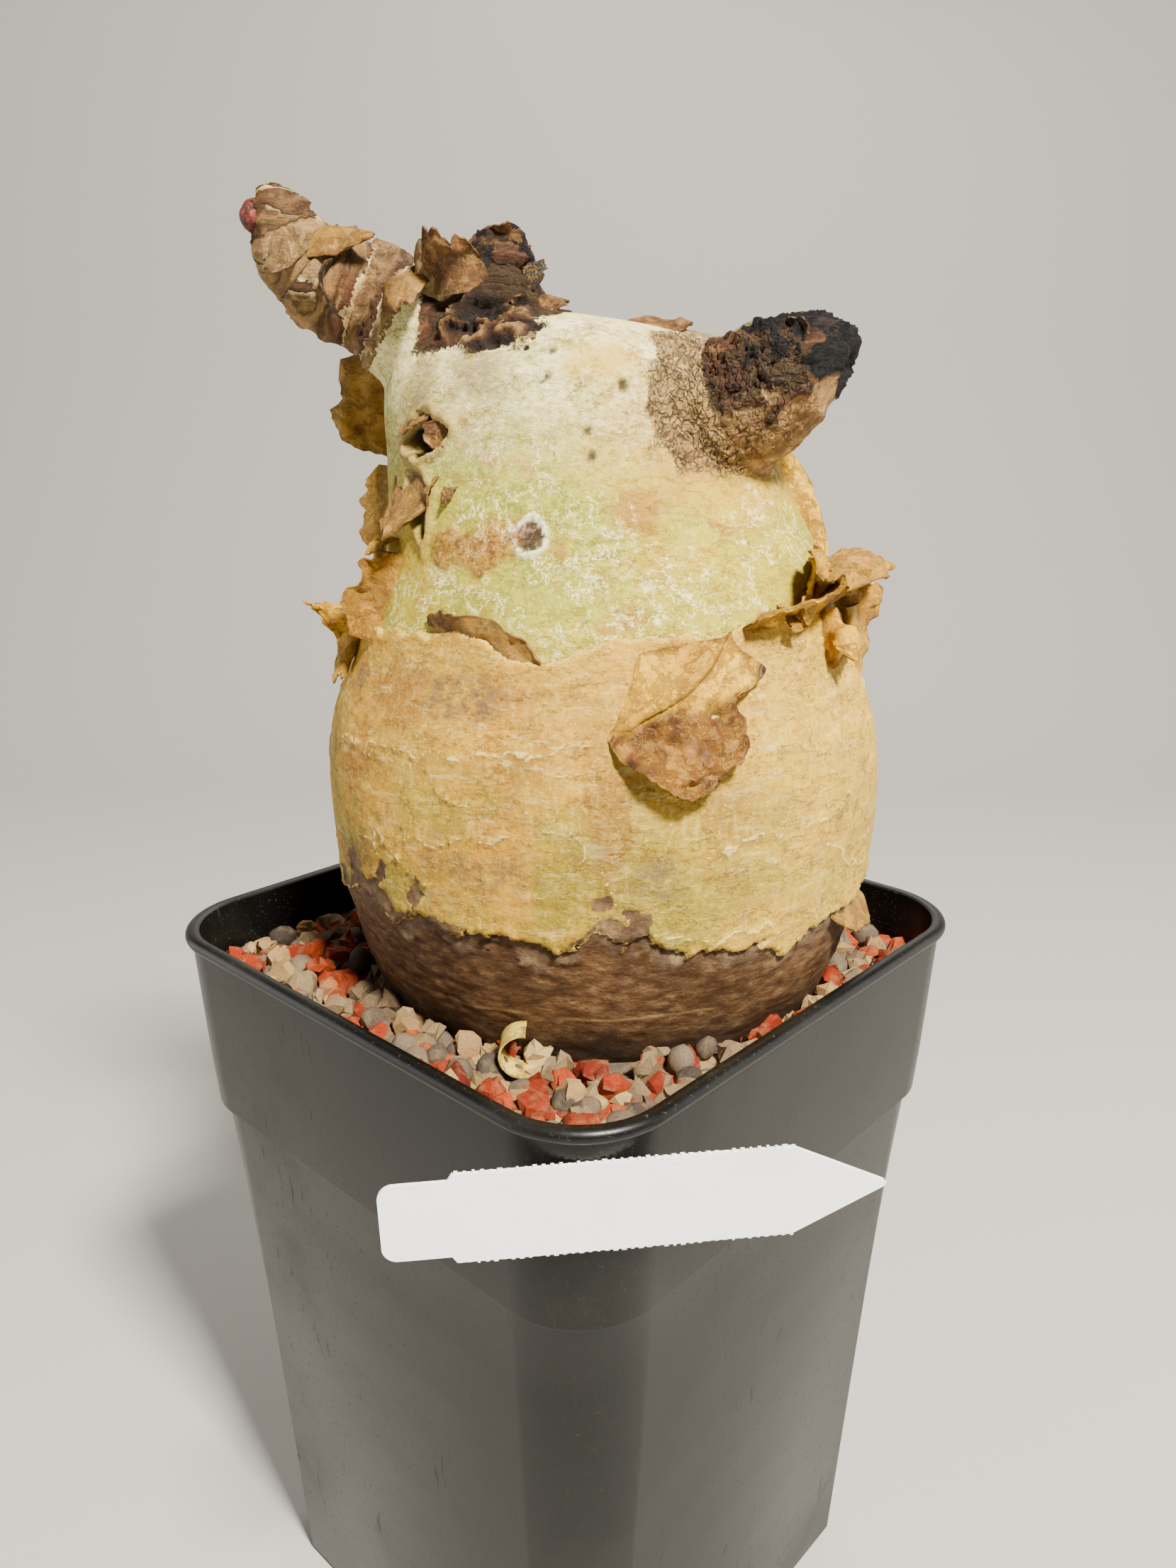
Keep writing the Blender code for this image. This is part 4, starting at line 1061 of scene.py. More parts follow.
def stub_bark(r, middle):
    """Old bark of the stubs, drawn on their unrolled skin: sheaths with a pale edge and a
    painted shadow at the foot of each step on the left branch, crackled plates on the others."""
    roll = r.attribute("roll", "Vector")
    across = r.noise(420, r.place((1.0, 0.18, 0.18), coords=roll), detail=7, rough=0.7)
    metres = r.part("X", roll)
    wander = r.times(r.noise(75, roll, detail=6, rough=0.7), 0.016)
    sheath = r.math("FRACT", r.times(r.plus(metres, wander), 98.0))
    # The near-black start of each sheath is painted shadow at the foot of its step.
    colour = r.ramp(sheath, (0.0, "140a04"), (0.07, "4a3018"), (0.40, "785a34"),
                    (0.84, "947446"), (0.97, "d2b478"))
    colour = r.fade(colour, "2c190b", across, 0.54, 0.38, 0.8)
    colour = r.fade(colour, "b0925c", across, 0.56, 0.70, 0.6)
    colour = r.over(colour, ("5e3014", r.blots(85, 0.50, 0.64, detail=4), 0.45))

    web = r.noise(150, r.warp(roll, 90, 0.006), detail=9, rough=0.72)
    plate = r.ramp(r.noise(110, r.place(coords=roll), detail=8, rough=0.75),
                   (0.34, "0b0603"), (0.46, "26140a"), (0.56, "4c2d17"), (0.68, "7e5a34"))
    plate = r.over(plate, ("a98858", r.lines(web, 0.050), 0.55))
    plate = r.mix(r.lines(web, 0.022), plate, "050201")
    dark = r.times(r.band(r.attribute("on_left"), 0.3, 0.7, 1.0, 0.0), r.attribute("gnarled"))
    colour = r.fade(colour, plate, dark, 0.2, 0.6)
    # The nest's old bark is dark, and its colour also follows the fold height: the near-black valleys are
    # painted shade.
    nest = r.ramp(r.attribute("nest_fold"),
                  (0.10, "030201"), (0.42, "1a0d05"), (0.66, "4e3219"), (0.92, "967444"))
    nest = r.mix(r.lines(web, 0.030), nest, "070302")
    colour = r.over(colour, (nest, r.attribute("nest"), 0.8))
    burnt = r.ramp(middle, (0.36, "020202"), (0.56, "0a0808"), (0.76, "2c2421"))
    burnt = r.over(burnt, ("3a302b", r.lines(web, 0.020), 0.7))
    colour = r.fade(colour, burnt, r.plus(r.attribute("char"), r.times(middle, 0.3)), 0.40, 0.75)
    smooth = r.ramp(across, (0.34, "684a2a"), (0.50, "a07a48"), (0.66, "cca86c"))
    smooth = r.fade(smooth, "5a3f1c", middle, 0.52, 0.40, 0.7)
    ragged = r.plus(r.attribute("gnarled"), r.times(middle, 0.6))
    tan = r.times(r.attribute("on_right"), r.band(ragged, 0.45, 0.85, 1.0, 0.0))
    tan = r.times(tan, r.band(r.attribute("char"), 0.2, 0.6, 1.0, 0.0))
    relief = r.minus(r.times(sheath, r.attribute("on_left")), r.times(r.lines(web, 0.05), dark))
    return r.mix(tan, colour, smooth), r.plus(relief, r.times(across, 0.6))


def under_skin(r, middle):
    """Old brown skin under the bark's lower edge, darkest where it meets the gravel."""
    stripes = r.noise(90, r.place((1.8, 1.8, 5.0)), detail=6, rough=0.70)
    brown = r.ramp(stripes, (0.30, "34200e"), (0.46, "583c22"), (0.60, "785a3a"), (0.78, "a88a60"))
    brown = r.fade(brown, "36200c", r.noise(40, detail=5), 0.44, 0.64, 0.55)
    flaking = r.blots(150, 0.60, 0.66, stretch=(0.6, 0.6, 2.0), detail=6, rough=0.7)
    level = r.plus(r.part("Z"), r.times(r.noise(16, detail=2), 0.012))
    foot = r.math("ABSOLUTE", r.minus(level, 0.2705))
    foot = r.times(r.band(foot, 0.0002, 0.0008, 1.0, 0.0), r.blots(45, 0.44, 0.56, detail=3))
    brown = r.over(brown, ("8a6c44", flaking, 0.40), ("a08458", foot, 0.5))
    brown = r.fade(brown, "0c0502", r.part("Z"), 0.266, 0.250, 0.8)
    grey = r.ramp(middle, (0.32, "4a3828"), (0.52, "6c5640"), (0.72, "9c8662"))
    return r.over(brown, (grey, r.attribute("under_layer"), 0.8))


def scaly_collar(r, colour, grain):
    """Small cracked plates where the right stub leaves the body."""
    scale = r.cells(520, r.warp(r.place((1, 1, 0.7)), 150, 0.007))
    broken = r.blots(230, 0.44, 0.52, detail=5, rough=0.7)
    cracks = r.times(r.band(scale, 0.02, 0.10, 1.0, 0.0), broken)
    curls = r.lines(r.noise(130, r.warp(r.place((1, 1, 0.6)), 60, 0.010), detail=9, rough=0.75), 0.024)
    reach = r.plus(r.attribute("scaly"), r.times(r.noise(90, detail=6), 1.2))
    plates = r.fade("563e22", "a4804c", grain, 0.40, 0.60)
    colour = r.fade(colour, plates, reach, 0.80, 1.30, 0.85)
    cracks = r.times(r.most(cracks, curls), r.band(reach, 0.66, 1.05, 0.0, 0.85))
    return r.mix(cracks, colour, "2a1a0e"), r.times(r.band(scale, 0.0, 0.2), r.attribute("scaly"))


def wound_colours(r, colour, fine, middle):
    """The hole, the tear, the scar, the scab and the dark dots."""
    lip = r.mix(middle, "5e4322", "c9a85c")
    colour = r.over(colour, (lip, r.attribute("hole_rim"), 0.85))
    # The hole's near-black inside is painted shade in its dent.
    colour = r.fade(colour, "0a0402", r.attribute("hole"), 0.25, 0.7)
    torn_flesh = r.mix(middle, "211208", "6a4e30")
    knots = r.ramp(r.noise(330, detail=2), (0.40, "0a0405"), (0.52, "3c2420"), (0.66, "8f7460"))
    crust = r.times(r.band(r.attribute("scab"), 0.1, 0.6), r.band(middle, 0.36, 0.56, 0.35, 1.0))
    crumbs = r.fade("5e3410", "a87426", fine, 0.4, 0.6)
    return r.over(colour, (lip, r.attribute("tear_rim"), 0.8), (torn_flesh, r.attribute("tear"), 0.85),
                  (knots, r.attribute("scar"), 0.9), ("f6eed0", r.attribute("scar_rim"), 0.95),
                  (crumbs, crust, 0.8), ("1d1206", r.attribute("dot"), 0.9))


def caudex_skin():
    r = Recipe("waxy_skin_and_bark")
    fine = r.noise(620, detail=4, rough=0.7)
    middle = r.noise(150, detail=6, rough=0.65)
    broad = r.noise(30, detail=5, rough=0.6)
    speckle = r.noise(760, detail=5, rough=0.8)
    grain = r.noise(330, r.place((1, 1, 1.4)), detail=6, rough=0.75)
    green, wax = green_skin(r, speckle, grain, broad)
    bark, wrinkle = bark_skin(r, speckle, grain, broad)
    fray = r.band(r.noise(900, detail=4), 0.35, 0.65, -0.04, 0.04)
    top = r.plus(r.attribute("over_top"), fray)
    low = r.plus(r.attribute("over_bottom"), fray)
    worn = r.ramp(middle, (0.32, "463322"), (0.52, "6a5136"), (0.72, "96794c"))
    bark = r.fade(bark, worn, r.attribute("eaten"), 0.25, 0.65)
    colour = r.fade(bark, green, top, -0.02, 0.02)
    rim = r.times(r.band(top, -0.10, -0.02), r.band(top, -0.01, 0.03, 1.0, 0.0))
    shade = r.times(r.band(top, 0.0, 0.02), r.band(top, 0.02, 0.09, 1.0, 0.0))
    colour = r.over(colour, ("dfc05c", rim, 0.6), ("4e3f14", shade, 0.6))
    colour = r.mix(r.band(low, -0.02, 0.02, 1.0, 0.0), colour, under_skin(r, middle))
    edge = r.times(r.band(low, -0.01, 0.01), r.band(low, 0.02, 0.09, 1.0, 0.0))
    edge = r.times(edge, r.band(middle, 0.42, 0.54, 0.1, 0.9))
    colour = r.mix(edge, colour, "f0d47c")
    colour, plates = scaly_collar(r, colour, grain)
    old_bark, layers = stub_bark(r, middle)
    on_stub = r.band(r.plus(r.attribute("stub"), r.times(fray, 4.0)), 0.35, 0.60)
    colour = wound_colours(r, r.mix(on_stub, colour, old_bark), fine, middle)

    rough = r.band(wax, 0.0, 1.0, 0.60, 0.85)
    normal = r.bump(r.noise(1600, detail=2), 0.00016, 0.8)
    normal = r.bump(speckle, 0.0004, 0.8, normal)
    normal = r.bump(wrinkle, 0.0005, 0.7, normal)
    normal = r.bump(grain, 0.0006, 0.6, normal)
    normal = r.bump(r.times(layers, on_stub), 0.0013, 0.9, normal)
    normal = r.bump(plates, 0.0008, 0.8, normal)
    return r.finish(colour, rough, normal, Specular_IOR_Level=0.25)


dress(caudex, caudex_skin())
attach(caudex, "root")
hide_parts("caudex")

# %% [markdown]
# The gravel is lava, pumice and fired clay balls, loose on top of the mix. A few
# hundred stones that lie at random are a job for Geometry Nodes: points are scattered
# on the ring-shaped bed between the pot and the plant, no two closer than a stone's
# width, and each gets a ball of few faces with its own size and turn. Once they are
# real mesh, noise knocks their corners off. A number kept on each stone tells the
# material what kind of stone it is.

# %% Gravel by Geometry Nodes
GRAVEL_BED = 0.2472
STONE_SPACING = 0.0074
STONE_SMALL = 0.0036
STONE_LARGE = 0.0056
BALL_KIND = 0.78
STONE_COLOURS = (
    (0.0, "7c2006"), (0.14, "9a360c"), (0.28, "5c1404"), (0.36, "88290a"), (0.39, "a88c58"),
    (0.50, "8f7046"), (0.56, "b89c68"), (0.60, "64503a"), (0.76, "86704e"),
    (0.79, "4a3d34"), (0.90, "72624f"), (1.0, "3a312b"),
)
STONE_CHIPS = 0.0085
BALL_CHIPS = 0.0012


def bed_ring(level, wall_gap, plant_gap):
    """A flat ring between the pot's wall and the foot of the caudex."""
    outer = square_ring(*collar_section(level, WALL + wall_gap), level)
    centre = skin(0.0, level) * (1, 0, 1) + (0, CAUDEX_Y, 0)
    foot = float(smooth_curve(CAUDEX_PROFILE, level)) + plant_gap
    inner = []
    for p in outer:
        way = Vector((p.x - centre[0], (p.y - centre[1]), 0)).normalized()
        inner.append(Vector((centre[0], centre[1], level)) + foot * way)
    n = len(outer)
    faces = [(i, (i + 1) % n, n + (i + 1) % n, n + i) for i in range(n)]
    mesh = bpy.data.meshes.new("bed")
    mesh.from_pydata([tuple(p) for p in outer + inner], [], faces)
    return link("bed", mesh)


class Weave:
    """A Geometry Nodes tree; each call adds a node and returns its outputs."""

    def __init__(self, name, given, result):
        self.tree = bpy.data.node_groups.new(name, "GeometryNodeTree")
        self.ids = {}
        for label, kind in given.items():
            socket = self.tree.interface.new_socket(label, in_out="INPUT", socket_type="NodeSocket" + kind)
            self.ids[label] = socket.identifier
        self.tree.interface.new_socket(result, in_out="OUTPUT", socket_type="NodeSocketGeometry")
        self.given = self.tree.nodes.new("NodeGroupInput").outputs

    def add(self, node_kind, inputs, **settings):
        """Inputs map a socket's name or number to a value or to another node's output."""
        made = self.tree.nodes.new(node_kind)
        for key, value in settings.items():
            setattr(made, key, value)
        for key, value in inputs.items():
            if isinstance(value, bpy.types.NodeSocket):
                self.tree.links.new(value, made.inputs[key])
            else:
                made.inputs[key].default_value = value
        return made.outputs

    def random(self, kind, low, high, seed):
        """A random number or vector for each point."""
        first, result = (0, 0) if kind == "FLOAT_VECTOR" else (2, 1)
        inputs = {first: low, first + 1: high, "Seed": seed}
        return self.add("FunctionNodeRandomValue", inputs, data_type=kind)[result]

    def finish(self, geometry, material):
        """Paint the geometry and hand back the tree and its inputs."""
        painted = self.add("GeometryNodeSetMaterial", {"Geometry": geometry, "Material": material})
        self.tree.links.new(painted["Geometry"], self.tree.nodes.new("NodeGroupOutput").inputs[0])
        return self.tree, self.ids


def gravel_tree():
    weave = Weave("scatter_stones", {
        "Bed": "Geometry", "Spacing": "Float", "Smallest": "Float", "Largest": "Float",
        "Seed": "Int", "Stone": "Material"}, "Gravel")
    given = weave.given
    spots = weave.add("GeometryNodeDistributePointsOnFaces", {
        "Mesh": given["Bed"], "Distance Min": given["Spacing"], "Seed": given["Seed"],
        "Density Max": 60000}, distribute_method="POISSON")["Points"]
    ball = weave.add("GeometryNodeMeshIcoSphere", {"Radius": 1.0, "Subdivisions": 2})["Mesh"]
    size = weave.random("FLOAT", given["Smallest"], given["Largest"], 2)
    shape = weave.random("FLOAT_VECTOR", (0.82, 0.78, 0.70), (1.25, 1.1, 1.0), 3)
    placed = weave.add("GeometryNodeInstanceOnPoints", {
        "Points": spots, "Instance": ball,
        "Rotation": weave.random("FLOAT_VECTOR", (0, 0, 0), (6.28, 6.28, 6.28), 1),
        "Scale": weave.add("ShaderNodeVectorMath", {0: shape, "Scale": size}, operation="SCALE")[0],
    })["Instances"]
    kept = weave.add("GeometryNodeStoreNamedAttribute", {
        "Name": "kind", "Geometry": placed, "Value": weave.random("FLOAT", 0.0, 1.0, 4),
    }, data_type="FLOAT", domain="INSTANCE")["Geometry"]
    lifted = weave.add("GeometryNodeTranslateInstances", {
        "Local Space": False, "Instances": kept,
        "Translation": weave.random("FLOAT_VECTOR", (0, 0, -0.0006), (0, 0, 0.0014), 5),
    })["Instances"]
    real = weave.add("GeometryNodeRealizeInstances", {"Geometry": lifted})["Geometry"]
    chip = weave.add("ShaderNodeTexNoise", {"Scale": 300, "Detail": 1.0})["Color"]
    centred = weave.add("ShaderNodeVectorMath", {0: chip, 1: (0.5, 0.5, 0.5)}, operation="SUBTRACT")[0]
    kind = weave.add("GeometryNodeInputNamedAttribute", {"Name": "kind"}, data_type="FLOAT")["Attribute"]
    rough = weave.add("ShaderNodeMapRange", {
        "Value": kind, "From Min": BALL_KIND - 0.01, "From Max": BALL_KIND + 0.01,
        "To Min": STONE_CHIPS, "To Max": BALL_CHIPS})["Result"]
    offset = weave.add("ShaderNodeVectorMath", {0: centred, "Scale": rough}, operation="SCALE")[0]
    chipped = weave.add("GeometryNodeSetPosition", {"Geometry": real, "Offset": offset})["Geometry"]
    return weave.finish(chipped, given["Stone"])


def stone(name, loose=True):
    """Loose stones know their kind; in the bed under them random cells stand for it."""
    r = Recipe(name)
    if loose:
        kind = r.attribute("kind")
    else:
        cell = r.node("ShaderNodeTexVoronoi")
        r.plug(cell.inputs["Vector"], r.place())
        cell.inputs["Scale"].default_value = 110
        split = r.node("ShaderNodeSeparateColor")
        r.plug(split.inputs[0], cell.outputs["Color"])
        kind = split.outputs[0]
    grit = r.noise(1200, detail=5, rough=0.75)
    blotch = r.noise(260, detail=3)
    hue = r.ramp(kind, *STONE_COLOURS)
    hue = r.fade(hue, "8f7c58", blotch, 0.44, 0.70, 0.35)
    hue = r.fade(hue, "150b06", grit, 0.46, 0.30, 0.75)
    hue = r.fade(hue, "b8a278", grit, 0.60, 0.78, 0.4)
    normal = r.bump(grit, 0.0007, 0.8)
    return r.finish(hue, 0.9, normal, Specular_IOR_Level=0.25)


STONE_LAYERS = ((GRAVEL_BED - 0.001, 3, STONE_SPACING), (GRAVEL_BED + 0.0022, 8, STONE_SPACING * 1.25))
mixed_stone = stone("mixed_gravel")
tree, inputs = gravel_tree()
heaps = []
for level, seed, spacing in STONE_LAYERS:
    bed = bed_ring(level, STONE_LARGE * 1.05, STONE_SMALL * 0.5)
    scatter = bed.modifiers.new("scatter", "NODES")
    scatter.node_group = tree
    scatter[inputs["Spacing"]] = spacing
    scatter[inputs["Smallest"]] = STONE_SMALL
    scatter[inputs["Largest"]] = STONE_LARGE
    scatter[inputs["Seed"]] = seed
    scatter[inputs["Stone"]] = mixed_stone
    heaps.append(evaluated(bed))
gravel_mesh = joined(heaps, "gravel")
gravel_mesh.shade_smooth()
gravel_mesh.set_sharp_from_angle(angle=math.radians(32))
gravel = link("gravel", gravel_mesh)
dress(gravel, mixed_stone)
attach(gravel, "root")
bed_node = frame["nodes"]["top_gravel"]
dress(bed_node, stone("gravel_bed", loose=False))
print("gravel triangles:", len(gravel_mesh.polygons))

# %% [markdown]
# The papery bark comes away in sheets, and every sheet tears, curls and crumples in
# its own way. Still they have one build: a line of points rooted in the skin, from
# which each row steps away at an angle that grows towards the tip. That angle is the
# curl. Noise tears the free edge and crumples the face. Each sheet is a closed skin
# of real thickness, and it keeps four measures for its colour: how near a point is to
# the rim, whether it is on the inner face, the sheet's own tone, and the painted
# shadow along its crease.

# %% Sheets of bark
SHEET_THICKNESS = 0.0006
CREAM, FRESH, TAN, BROWN, GREY, DARK = -0.25, 0.0, 0.25, 0.5, 0.75, 1.0
ROOT_DEPTH = 0.0022
UNDERSIDE = 0.5
PEEL_FOLDS = 150
FLAKE_FOLDS = 190
UP = (0, 0, 1)
DOWN = (0, 0, -1)


def skin_normals(angles, levels):
    return unit(np.cross(*skin_ways(angles, levels)))


def line_noise(values, seed):
    return np.array([noise.fractal(Vector((v, seed * 7.31, 0.5)), 0.8, 2.2, 4) for v in values])


def crumpled(grid, amount, scale, seed):
    """Push a grid in and out with folded noise, more towards its free end."""
    flat = grid.reshape(-1, 3) + seed * 0.37
    folds = noise_at(flat, scale, 3) + 1.5 * noise_at(flat + 5.0, 0.42 * scale, 2)
    folds = folds.reshape(grid.shape[:2])
    normal = unit(np.cross(np.gradient(grid, axis=0), np.gradient(grid, axis=1)))
    share = np.linspace(0, 1, grid.shape[1])[None, :] ** 0.7
    return grid + normal * (amount * share * folds)[..., None]


def grow_rows(root, forward, normal, reach, lift, curl, rows):
    """Rows of points that leave a root line and curl as they go."""
    grid = [root]
    point = root
    for j in range(1, rows + 1):
        tilt = math.radians(lift + curl * j / rows)
        step = (reach / rows)[:, None]
        point = point + step * (forward * math.cos(tilt) + normal * math.sin(tilt))
        grid.append(point)
    return np.stack(grid, axis=1)


def edge_reach(length, taper, fray, seed, columns):
    u = np.linspace(0, 1, columns + 1)
    reach = length * (1 - taper * np.abs(2 * u - 1) ** 2.2)
    return reach * (1 + fray * (line_noise(u * 2.3, seed) + 0.45 * line_noise(u * 9.0, seed + 3)))


def peel(start, end, grow, length, lift, curl, taper=0.5, fray=0.22, crumple=0.0007, seed=0,
         tone=FRESH, rows=26, columns=34):
    """A sheet rooted in the body between two (angle in degrees, height) places."""
    u = np.linspace(0, 1, columns + 1)
    angles = np.radians(start[0] + u * (end[0] - start[0]))
    levels = start[1] + u * (end[1] - start[1])
    levels = levels + 0.0007 * line_noise(u * 4, seed + 11)
    normal = skin_normals(angles, levels)
    if grow in (1, -1):
        forward = grow * np.stack([np.cos(angles), np.sin(angles), 0 * angles], axis=-1)
    else:
        forward = np.broadcast_to(np.asarray(grow, float), normal.shape)
    forward = unit(forward - normal * np.sum(forward * normal, axis=-1, keepdims=True))
    root = skin(angles, levels, -ROOT_DEPTH)
    reach = edge_reach(length, taper, fray, seed, columns) + ROOT_DEPTH
    grid = grow_rows(root, forward, normal, reach, lift, curl, rows)
    return closed_sheet(crumpled(grid, crumple, PEEL_FOLDS, seed), tone)


def flake(root, width, grow, up, length, lift, curl, taper=0.7, fray=0.22, crumple=0.0006, seed=0,
          cup=1.5, tone=FRESH, rows=20, columns=22):
    """A sheet rooted at a point of a stub, width across and length along grow."""
    forward = unit(grow)
    normal = unit(np.asarray(up, float) - forward * np.dot(forward, up))
    side = np.cross(forward, normal)
    u = np.linspace(-0.5, 0.5, columns + 1)[:, None]
    line = np.asarray(root) + side * width * u - normal * cup * width * u * u
    reach = edge_reach(length, taper, fray, seed, columns)
    grid = grow_rows(line, forward, normal, reach, lift, curl, rows)
    return closed_sheet(crumpled(grid, crumple, FLAKE_FOLDS, seed), tone)


def front_flap(rows=48, columns=48):
    """The big flap on the belly. Its upper left is still part of the bark and swells
    out of it; a crease runs across it, and beyond the crease it hangs free, wrinkled."""
    u = np.linspace(0, 1, columns + 1)[:, None]
    v = np.linspace(0, 1, rows + 1)[None, :]
    torn = line_noise(u[:, 0] * 7, 21)[:, None]
    side = line_noise(v[0] * 5, 33)[None, :]
    low = np.radians(0.0 + 22.0 * u)
    low_z = 0.3478 - 0.0178 * np.sin(math.pi * np.clip(u * 0.78, 0, 1)) + 0.0068 * u + 0.0020 * torn
    high = np.radians(5.0 + 20.5 * u)
    high_z = 0.3672 + 0.0065 * u**0.7
    corner = np.exp(-((v - 0.66) / 0.12) ** 2) * smoothstep(u, 0.6, 1.0) * math.radians(5.0)
    corner = corner + np.exp(-((v - 0.06) / 0.14) ** 2) * smoothstep(u, 0.6, 1.0) * math.radians(1.6)
    notch = np.exp(-((v - 0.44) / 0.07) ** 2) * smoothstep(u, 0.75, 1.0) * math.radians(2.0)
    belly = 4 * v * (1 - v) * math.radians(2.5) * u
    angles = low + (high - low) * v + corner - notch + belly + math.radians(0.9) * side * u**3
    levels = low_z + (high_z - low_z) * v
    crease = 0.04 + 0.98 * u**0.62
    over = v - crease
    free = np.clip(1.15 * u + 0.55 * (1 - v) - 0.12, 0, 1.2)
    rise = smoothstep(np.minimum(u, 0.9 * (1 - v) + 0.4 * u), 0.0, 0.11)
    lift = -0.0016 + 0.0040 * rise + 0.0042 * smoothstep(free, 0.0, 0.85)
    lift += 0.0021 * np.exp(-((over - 0.10) / 0.13) ** 2) * smoothstep(u, 0.0, 0.25)
    lift -= 0.0017 * np.exp(-((over + 0.012) / 0.035) ** 2) * smoothstep(u, 0.02, 0.2)
    lift -= 0.0012 * smoothstep(-over, 0.0, 0.08)
    lift += 0.0022 * smoothstep(1 - v, 0.75, 1.0) * smoothstep(u, 0.0, 0.3)
    grid = skin(angles, levels, lift)
    normal = skin_normals(angles, levels)
    smooth_top = smoothstep(v + 0.08 * side, 0.46, 0.62) * smoothstep(u, 0.3, 0.7)
    wrinkled = smoothstep(-over, -0.01, 0.10) * (1 - smooth_top)
    folds = ridges(grid.reshape(-1, 3) * (0.8, 0.8, 1.3), 74, 4).reshape(grid.shape[:2])
    fine = noise_at(grid.reshape(-1, 3), 60, 2).reshape(grid.shape[:2])
    amount = wrinkled * 0.0026 * (folds - 0.5) + 0.0008 * fine * smoothstep(u, 0.0, 0.2)
    # Painted shadow: a dark line along the dip where the flap folds over at its crease.
    fold_shadow = np.exp(-((over + 0.008) / 0.015) ** 2) * smoothstep(u, 0.0, 0.1)
    tone = DARK * np.minimum(1.6 * np.exp(-((u - 1.0) / 0.06) ** 2 - ((v - 0.66) / 0.045) ** 2), 1.0)
    return closed_sheet(grid + normal * amount[..., None], tone, wrinkled, fold_shadow)


def closed_sheet(grid, tone, wrinkled=0.0, fold_shadow=0.0):
    """Points, faces and measures of one thin closed skin on a grid."""
    normal = unit(np.cross(np.gradient(grid, axis=0), np.gradient(grid, axis=1)))
    m, n = grid.shape[:2]
    thin = SHEET_THICKNESS / 2
    points = np.concatenate([(grid + normal * thin).reshape(-1, 3), (grid - normal * thin).reshape(-1, 3)])
    other = m * n
    faces = []
    for i in range(m - 1):
        for j in range(n - 1):
            a, b = i * n + j, i * n + j + 1
            faces.append((a, a + n, b + n, b))
            faces.append((other + b, other + b + n, other + a + n, other + a))
    rim = [(0, j) for j in range(n)] + [(i, n - 1) for i in range(1, m)]
    rim += [(m - 1, j) for j in range(n - 2, -1, -1)] + [(i, 0) for i in range(m - 2, 0, -1)]
    for k, (i, j) in enumerate(rim):
        ii, jj = rim[(k + 1) % len(rim)]
        a, b = i * n + j, ii * n + jj
        faces.append((a, b, other + b, other + a))
    u = np.linspace(0, 1, m)[:, None]
    rim_gap = np.minimum(np.minimum(u, 1 - u), 1 - np.linspace(0, 1, n)[None, :])
    rim_gap, inner, tone, fold_shadow = [np.broadcast_to(part, (m, n)).ravel()
                                    for part in (rim_gap, wrinkled, tone, fold_shadow)]
    measures = {
        "rim": np.tile(rim_gap, 2), "tone": np.tile(tone, 2), "fold_shadow": np.tile(fold_shadow, 2),
        "inner": np.concatenate([inner, np.maximum(inner, UNDERSIDE)]),
    }
    return points, faces, measures


def sheet_piece(name, sheets):
    """Join closed sheets into one piece and turn their faces outwards."""
    every, faces, base = [], [], 0
    measures = {"rim": [], "inner": [], "tone": [], "fold_shadow": []}
    for points, own, given in sheets:
        every.append(points)
        faces += [tuple(base + q for q in f) for f in own]
        base += len(points)
        for key, values in given.items():
            measures[key].append(values)
    mesh = bpy.data.meshes.new(name)
    mesh.from_pydata(np.concatenate(every).tolist(), [], faces)
    keep_measures(mesh, {key: np.concatenate(values) for key, values in measures.items()})
    turn = bmesh.new()
    turn.from_mesh(mesh)
    bmesh.ops.recalc_face_normals(turn, faces=turn.faces)
    turn.to_mesh(mesh)
    turn.free()
    mesh.shade_smooth()
    mesh.set_sharp_from_angle(angle=math.radians(50))
    return link(name, mesh)


print("sheet builder ready")

# %% [markdown]
# Here is each sheet of bark, in the order of a walk round the belly and then over the
# crown. Angles are in degrees: 0 faces the camera, 90 is the plant's right side.

